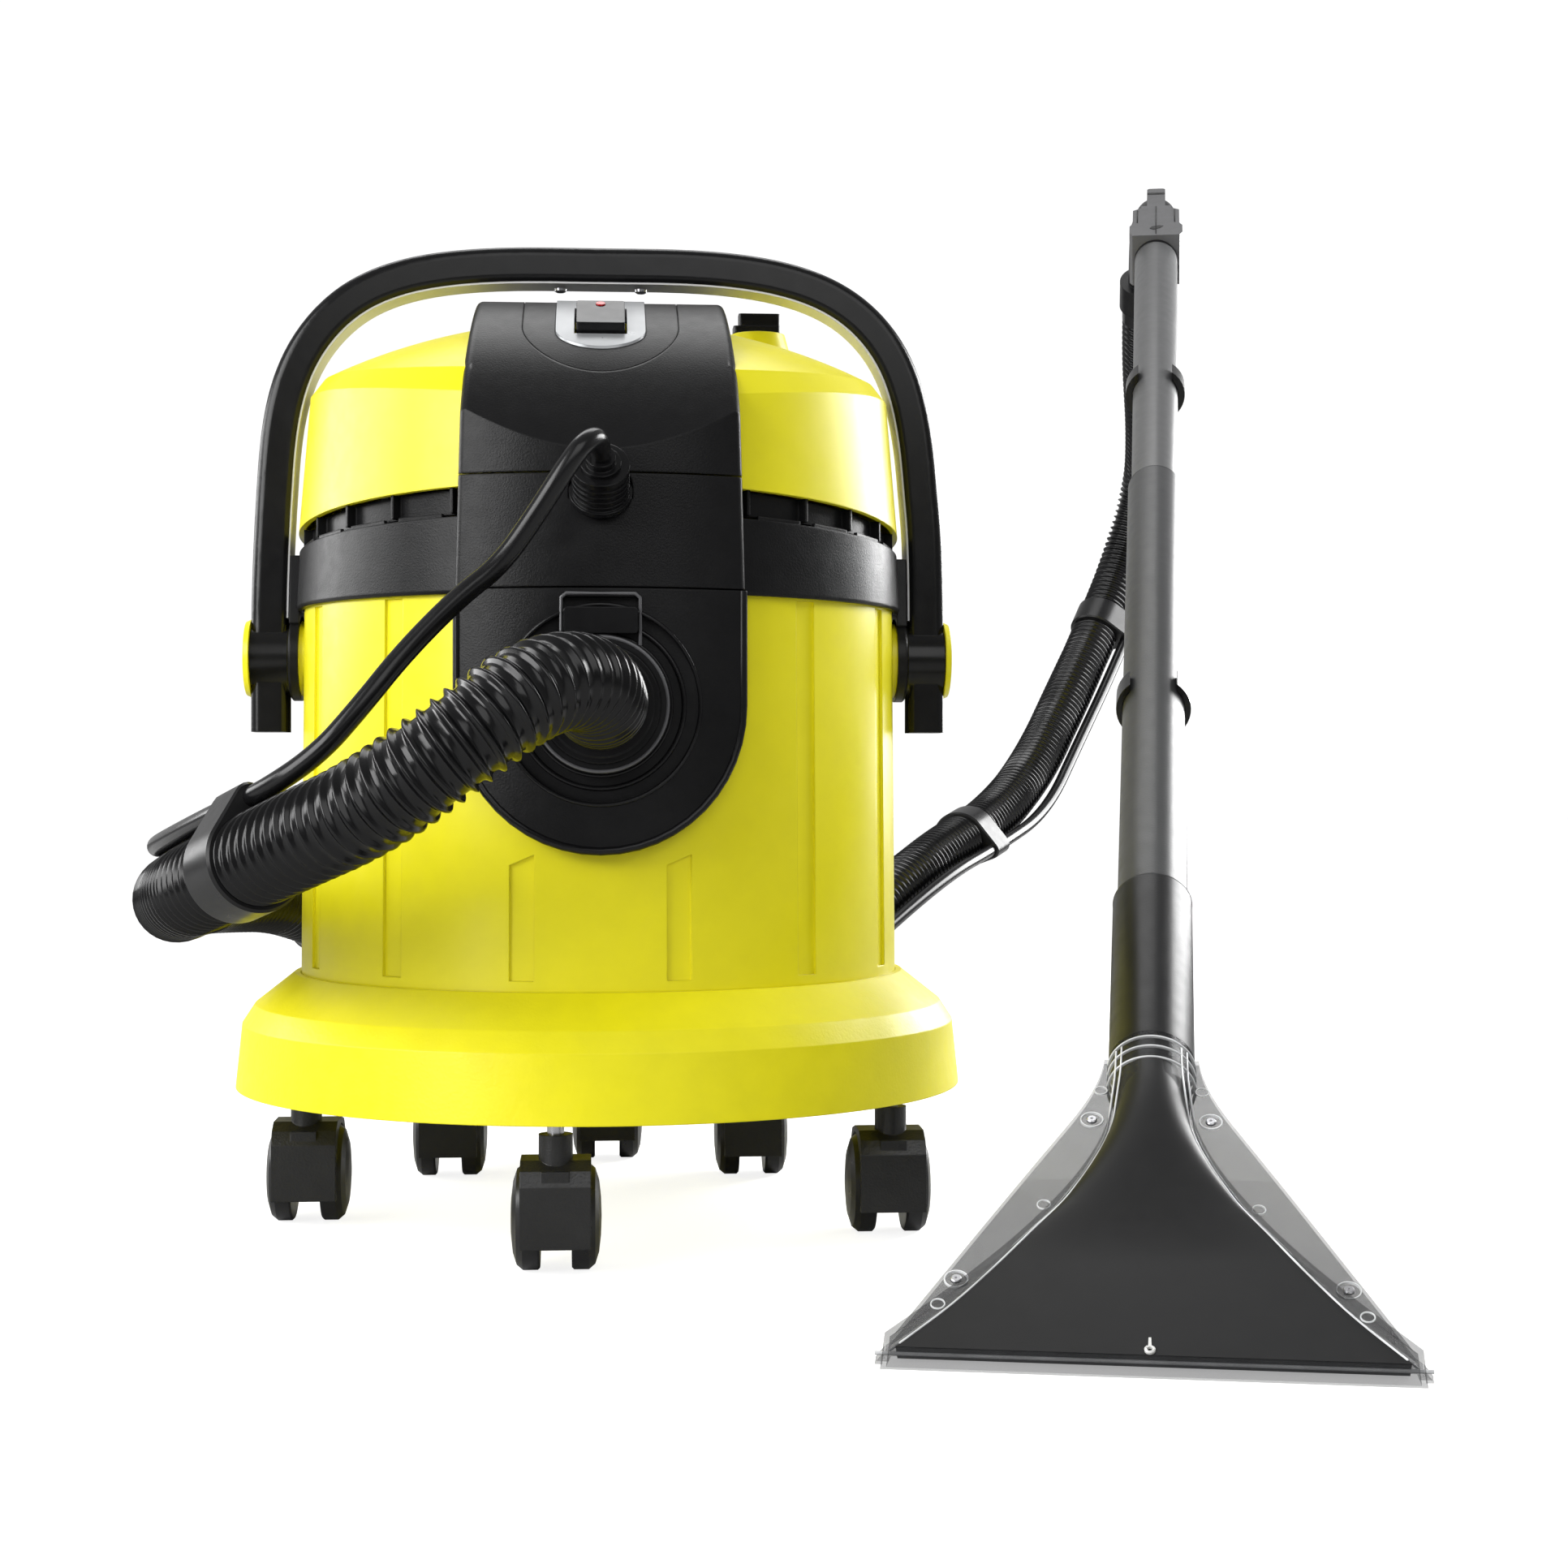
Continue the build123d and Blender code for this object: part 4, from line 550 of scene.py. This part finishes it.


# A dark closed sheet in the clear nozzle's channel, hugging its front and back walls: painted shade for the
# hollow duct, not a part of the machine.
duct_shade_mesh = bmesh.new()
SHADE_SHEET_STEPS, SHADE_SHEET_HALF, SKIN_OUT = 64, 14, 7.25
SHADE_SHEET_START, SHADE_SHEET_LONG = 1.2, 172
rows = {1: [], -1: []}
for face, lines in rows.items():
    for n in range(SHADE_SHEET_STEPS + 1):
        station = SHADE_SHEET_START + SHADE_SHEET_LONG * n / SHADE_SHEET_STEPS
        half = channel_half(station)
        line = []
        for k in range(-SHADE_SHEET_HALF, SHADE_SHEET_HALF + 1):
            share = math.sin(math.pi / 2 * k / SHADE_SHEET_HALF)
            out = SKIN_OUT + SWELL_RISE * swell_at(station) * math.sqrt(max(1 - share**2, 0.0))
            place = on_wand(half * share, station, face * out)
            place.z = max(place.z, 0.3 * MM)
            line.append(duct_shade_mesh.verts.new(place))
        lines.append(line)
    for one, two in zip(lines, lines[1:]):
        for k in range(2 * SHADE_SHEET_HALF):
            duct_shade_mesh.faces.new((one[k], one[k + 1], two[k + 1], two[k]))
for one, two in zip(rows[1], rows[-1]):
    one.append(two[-1])
    one.append(two[0])
for one, two in zip(rows[1], rows[1][1:]):
    duct_shade_mesh.faces.new((one[-3], one[-2], two[-2], two[-3]))
    duct_shade_mesh.faces.new((one[0], one[-1], two[-1], two[0]))
for end in (0, -1):
    front_line, back_line = rows[1][end][:-2], rows[-1][end]
    duct_shade_mesh.faces.new(front_line + list(reversed(back_line)))
mesh_piece("nozzle_duct_painted_shade", duct_shade_mesh, duct_painted_shade, "root")

# A dark ring inside the clear nozzle's neck: painted shade for the hollow neck, not a part of the machine.
neck_shade_mesh = bmesh.new()
neck_shade_spot = frame_at(LIP, ALONG, ACROSS) @ Matrix.Translation((0, 0, 158 * MM))
add_ring(neck_shade_mesh, neck_shade_spot, [
    (15.0 * MM, 0), (17.0 * MM, 0), (17.2 * MM, 16 * MM), (17.2 * MM, 34.4 * MM), (15.0 * MM, 34.4 * MM)
], 64)
mesh_piece("nozzle_neck_painted_shade", neck_shade_mesh, duct_painted_shade, "root")

# Pale beads along both edges of the nozzle's channel: painted highlight lines on the clear plastic.
EDGE_STEPS, EDGE_START, EDGE_LONG = 48, 3, 184
for side_name, side_sign in (("left", -1), ("right", 1)):
    for line_name, extra, base, thick in (("outer", 4.6, 2.7, 0.5), ("inner", 0.1, SKIN_OUT, 0.45)):
        places = []
        for n in range(EDGE_STEPS + 1):
            station = EDGE_START + EDGE_LONG * n / EDGE_STEPS
            across = channel_half(station) + extra * (1 - 0.45 * swell_at(station))
            round_r = 7.1 + SWELL_RISE * swell_at(station)
            out = max(base, math.sqrt(max(round_r**2 - across**2, 0.0)))
            places.append(on_wand(side_sign * across, station, out))
        bead(
            f"nozzle_{line_name}_edge_{side_name}", places, thick * MM, pale_painted_highlight, "root",
        )
# The pale bar along the lip is a painted highlight.
bead(
    "nozzle_lip_bar", [on_wand(side * 108.5, 1.6, 3.0) for side in (-1, -0.5, 0, 0.5, 1)], 0.8 * MM,
    pale_painted_highlight, "root",
)

SCREWS = [(-26, 149), (26, 149), (-79, 45), (79, 45)]
FLANGE_OUT, DUCT_OUT = 2.6, 7.0
BOSSES = [
    (-45, 92.5, FLANGE_OUT), (45, 92.5, FLANGE_OUT), (-85, 26, DUCT_OUT), (85, 26, DUCT_OUT),
    (-22.5, 170, FLANGE_OUT), (22.5, 170, FLANGE_OUT),
]
# The pale rims round the screws and the pale bosses below are painted highlights on their edges.
for number, (across, station) in enumerate(SCREWS, start=1):
    screw_mesh = bmesh.new()
    spot = FACE @ Matrix.Translation(Vector((across, station, 2.7)) * MM)
    add_ring(screw_mesh, spot, [
        (0.6 * MM, 0.1 * MM), (2.3 * MM, 0.1 * MM), (2.3 * MM, 1.0 * MM), (1.9 * MM, 1.4 * MM),
        (0.6 * MM, 1.4 * MM),
    ], 24)
    rim_mesh = bmesh.new()
    add_ring(rim_mesh, spot, [(4.4 * MM, 0), (5.2 * MM, 0), (5.1 * MM, 0.9 * MM), (4.6 * MM, 0.9 * MM)], 32)
    mesh_piece(f"nozzle_screw_rim_{number}", rim_mesh, pale_painted_highlight, "root")
    for turn in (0, 90):
        slot_spot = spot @ Matrix.Rotation(math.radians(turn + 20), 4, "Z")
        add_prism(screw_mesh, slot_spot, [
            (-1.5 * MM, -0.3 * MM), (1.5 * MM, -0.3 * MM), (1.5 * MM, 0.3 * MM), (-1.5 * MM, 0.3 * MM)
        ], 1.0 * MM)
    mesh_piece(f"nozzle_screw_{number}", screw_mesh, looks["steel"], "root")
for number, (across, station, out) in enumerate(BOSSES, start=1):
    boss_mesh = bmesh.new()
    spot = FACE @ Matrix.Translation(Vector((across, station, out)) * MM)
    add_ring(boss_mesh, spot, [
        (2.5 * MM, 0), (3.1 * MM, 0), (3.0 * MM, 0.5 * MM), (2.6 * MM, 0.5 * MM)
    ], 28)
    mesh_piece(f"nozzle_boss_{number}", boss_mesh, pale_painted_highlight, "root")

jet_mesh = bmesh.new()
add_ring(jet_mesh, FACE @ Matrix.Translation(Vector((0, 3.5, 6.6)) * MM), [
    (1.1 * MM, 0), (2.1 * MM, 0), (2.2 * MM, 1.6 * MM), (1.7 * MM, 2.1 * MM), (1.1 * MM, 1.8 * MM)
], 28)
add_prism(jet_mesh, FACE @ Matrix.Translation(Vector((0, 7.2, 6.6)) * MM), [
    (-0.7 * MM, -2.0 * MM), (0.7 * MM, -2.0 * MM), (0.5 * MM, 3.2 * MM), (-0.5 * MM, 3.2 * MM)
], 1.1 * MM)
mesh_piece("spray_jet_ring", jet_mesh, white_plastic, "root")

WAND_AXIS = frame_at(LIP, ALONG, ACROSS)
# Pale rings round the nozzle's neck: painted highlights on its ribs.
for number, (station, radius) in enumerate(((189, 19.6), (182, 19.6), (174, 19.6)), start=1):
    ring_mesh = bmesh.new()
    add_ring(ring_mesh, WAND_AXIS @ Matrix.Translation((0, 0, station * MM)), [
        ((radius - 0.8) * MM, -0.4 * MM), ((radius + 0.4) * MM, -0.4 * MM),
        ((radius + 0.6) * MM, 0), ((radius + 0.4) * MM, 0.4 * MM), ((radius - 0.8) * MM, 0.4 * MM),
    ], 64)
    mesh_piece(f"nozzle_neck_ring_{number}", ring_mesh, pale_painted_highlight, "root")

for name, station, radius in (
    ("socket_top_ring", SOCKET_END, SOCKET_R), ("lower_tube_top_ring", LOWER_END, LOWER_R)
):
    ring_mesh = bmesh.new()
    add_ring(ring_mesh, WAND_AXIS @ Matrix.Translation((0, 0, station * MM)), [
        ((radius - 1.6) * MM, -1.2 * MM), (radius * MM, -1.2 * MM), ((radius + 0.15) * MM, -0.4 * MM),
        ((radius - 0.5) * MM, 0.5 * MM), ((radius - 1.6) * MM, 0.5 * MM),
    ], 72)
    mesh_piece(name, ring_mesh, looks["tube_plastic"], "root")

BLOCK_OUT = 21.0
for name, outline in (
    ("valve_seam", [(-0.4, 1243), (0.4, 1243), (0.4, 1309), (-0.4, 1309)]),
    ("valve_slot", [(-5, 1256), (-2, 1253), (3, 1256), (6, 1261), (2, 1262), (-3, 1260)]),
    ("valve_left_groove", [(-15.6, 1270), (-14.6, 1270), (-14.6, 1300), (-15.6, 1300)]),
    ("valve_right_groove", [(14.6, 1270), (15.6, 1270), (15.6, 1300), (14.6, 1300)]),
    ("valve_nub_band", [(-7.4, 1339), (7.4, 1339), (7.4, 1343), (-7.4, 1343)]),
):
    detail_mesh = bmesh.new()
    spot = FACE @ Matrix.Translation((0, 0, (BLOCK_OUT - 0.3) * MM))
    add_prism(detail_mesh, spot, [(x * MM, y * MM) for x, y in outline], 0.7 * MM)
    mesh_piece(name, detail_mesh, looks["seal_rubber"], "root")

# ---------------------------------------------------------------- floor and light
floor_mesh = bmesh.new()
FLOOR_HALF = 14.0
corners = [(-FLOOR_HALF, -FLOOR_HALF), (FLOOR_HALF, -FLOOR_HALF), (FLOOR_HALF, FLOOR_HALF),
           (-FLOOR_HALF, FLOOR_HALF)]
floor_mesh.faces.new([floor_mesh.verts.new((x, y, 0)) for x, y in corners])
floor_data = bpy.data.meshes.new("floor")
floor_mesh.to_mesh(floor_data)
floor_mesh.free()
floor = bpy.data.objects.new("floor", floor_data)
bpy.context.collection.objects.link(floor)
floor_paper, floor_nodes, floor_links, floor_shader = node_tree("floor_paper")
floor_seen = floor_nodes.new("ShaderNodeLightPath")
floor_shader.inputs["Base Color"].default_value = (0.45, 0.45, 0.45, 1)
floor_shader.inputs["Roughness"].default_value = 0.9
floor_shader.inputs["Emission Color"].default_value = (1, 1, 1, 1)
floor_glow = spread(floor_nodes, floor_links, noise_of(floor_nodes, floor_links, 3.0), 0.83, 0.85)
floor_mask = floor_nodes.new("ShaderNodeMath")
floor_mask.operation = "MULTIPLY"
floor_links.new(floor_glow, floor_mask.inputs[0])
floor_links.new(floor_seen.outputs["Is Camera Ray"], floor_mask.inputs[1])
floor_links.new(floor_mask.outputs["Value"], floor_shader.inputs["Emission Strength"])
floor_data.materials.append(floor_paper)

world = bpy.data.worlds.new("studio")
bpy.context.scene.world = world
world.use_nodes = True
FRONT_SKY, REAR_SKY, BACKDROP = 0.14, 0.55, 1.05
sky_nodes, sky_links = world.node_tree.nodes, world.node_tree.links
sky = sky_nodes["Background"]
sky.inputs["Color"].default_value = (1, 1, 1, 1)
sky_way = sky_nodes.new("ShaderNodeTexCoord")
sky_parts = sky_nodes.new("ShaderNodeSeparateXYZ")
sky_links.new(sky_way.outputs["Generated"], sky_parts.inputs["Vector"])
sky_range = sky_nodes.new("ShaderNodeMapRange")
sky_range.inputs["From Min"].default_value = -1.0
sky_range.inputs["To Min"].default_value = FRONT_SKY
sky_range.inputs["To Max"].default_value = REAR_SKY
sky_links.new(sky_parts.outputs["Y"], sky_range.inputs["Value"])
seen = sky_nodes.new("ShaderNodeLightPath")
sky_choice = sky_nodes.new("ShaderNodeMix")
sky_choice.inputs["B"].default_value = BACKDROP
sky_links.new(seen.outputs["Is Camera Ray"], sky_choice.inputs["Factor"])
sky_links.new(sky_range.outputs["Result"], sky_choice.inputs["A"])
sky_links.new(sky_choice.outputs["Result"], sky.inputs["Strength"])
bpy.context.scene.view_settings.view_transform = "Standard"
bpy.context.scene.view_settings.look = "None"


def softbox(name, place, aim, width, height, power):
    """A large rectangular area light that points at a place."""
    light = bpy.data.lights.new(name, "AREA")
    light.shape = "RECTANGLE"
    light.size, light.size_y = width, height
    light.energy = power
    lamp = bpy.data.objects.new(name, light)
    lamp.location = place
    lamp.rotation_euler = (Vector(aim) - Vector(place)).to_track_quat("-Z", "Z").to_euler()
    bpy.context.collection.objects.link(lamp)


softbox("key_softbox", (-1.5, -1.25, 0.95), (0, 0, 0.25), 1.0, 1.5, 36)
softbox("left_softbox", (-1.6, 0.35, 0.7), (0, 0, 0.3), 0.5, 1.5, 14)
softbox("right_softbox", (1.2, 0.75, 0.75), (0.05, 0, 0.25), 0.5, 1.5, 30)
softbox("top_softbox", (-0.1, 0.8, 1.9), (0, 0.05, 0.2), 1.5, 0.9, 11)
softbox("front_fill", (0.5, -2.2, 1.5), (0.1, 0, 0.2), 2.0, 1.5, 17)
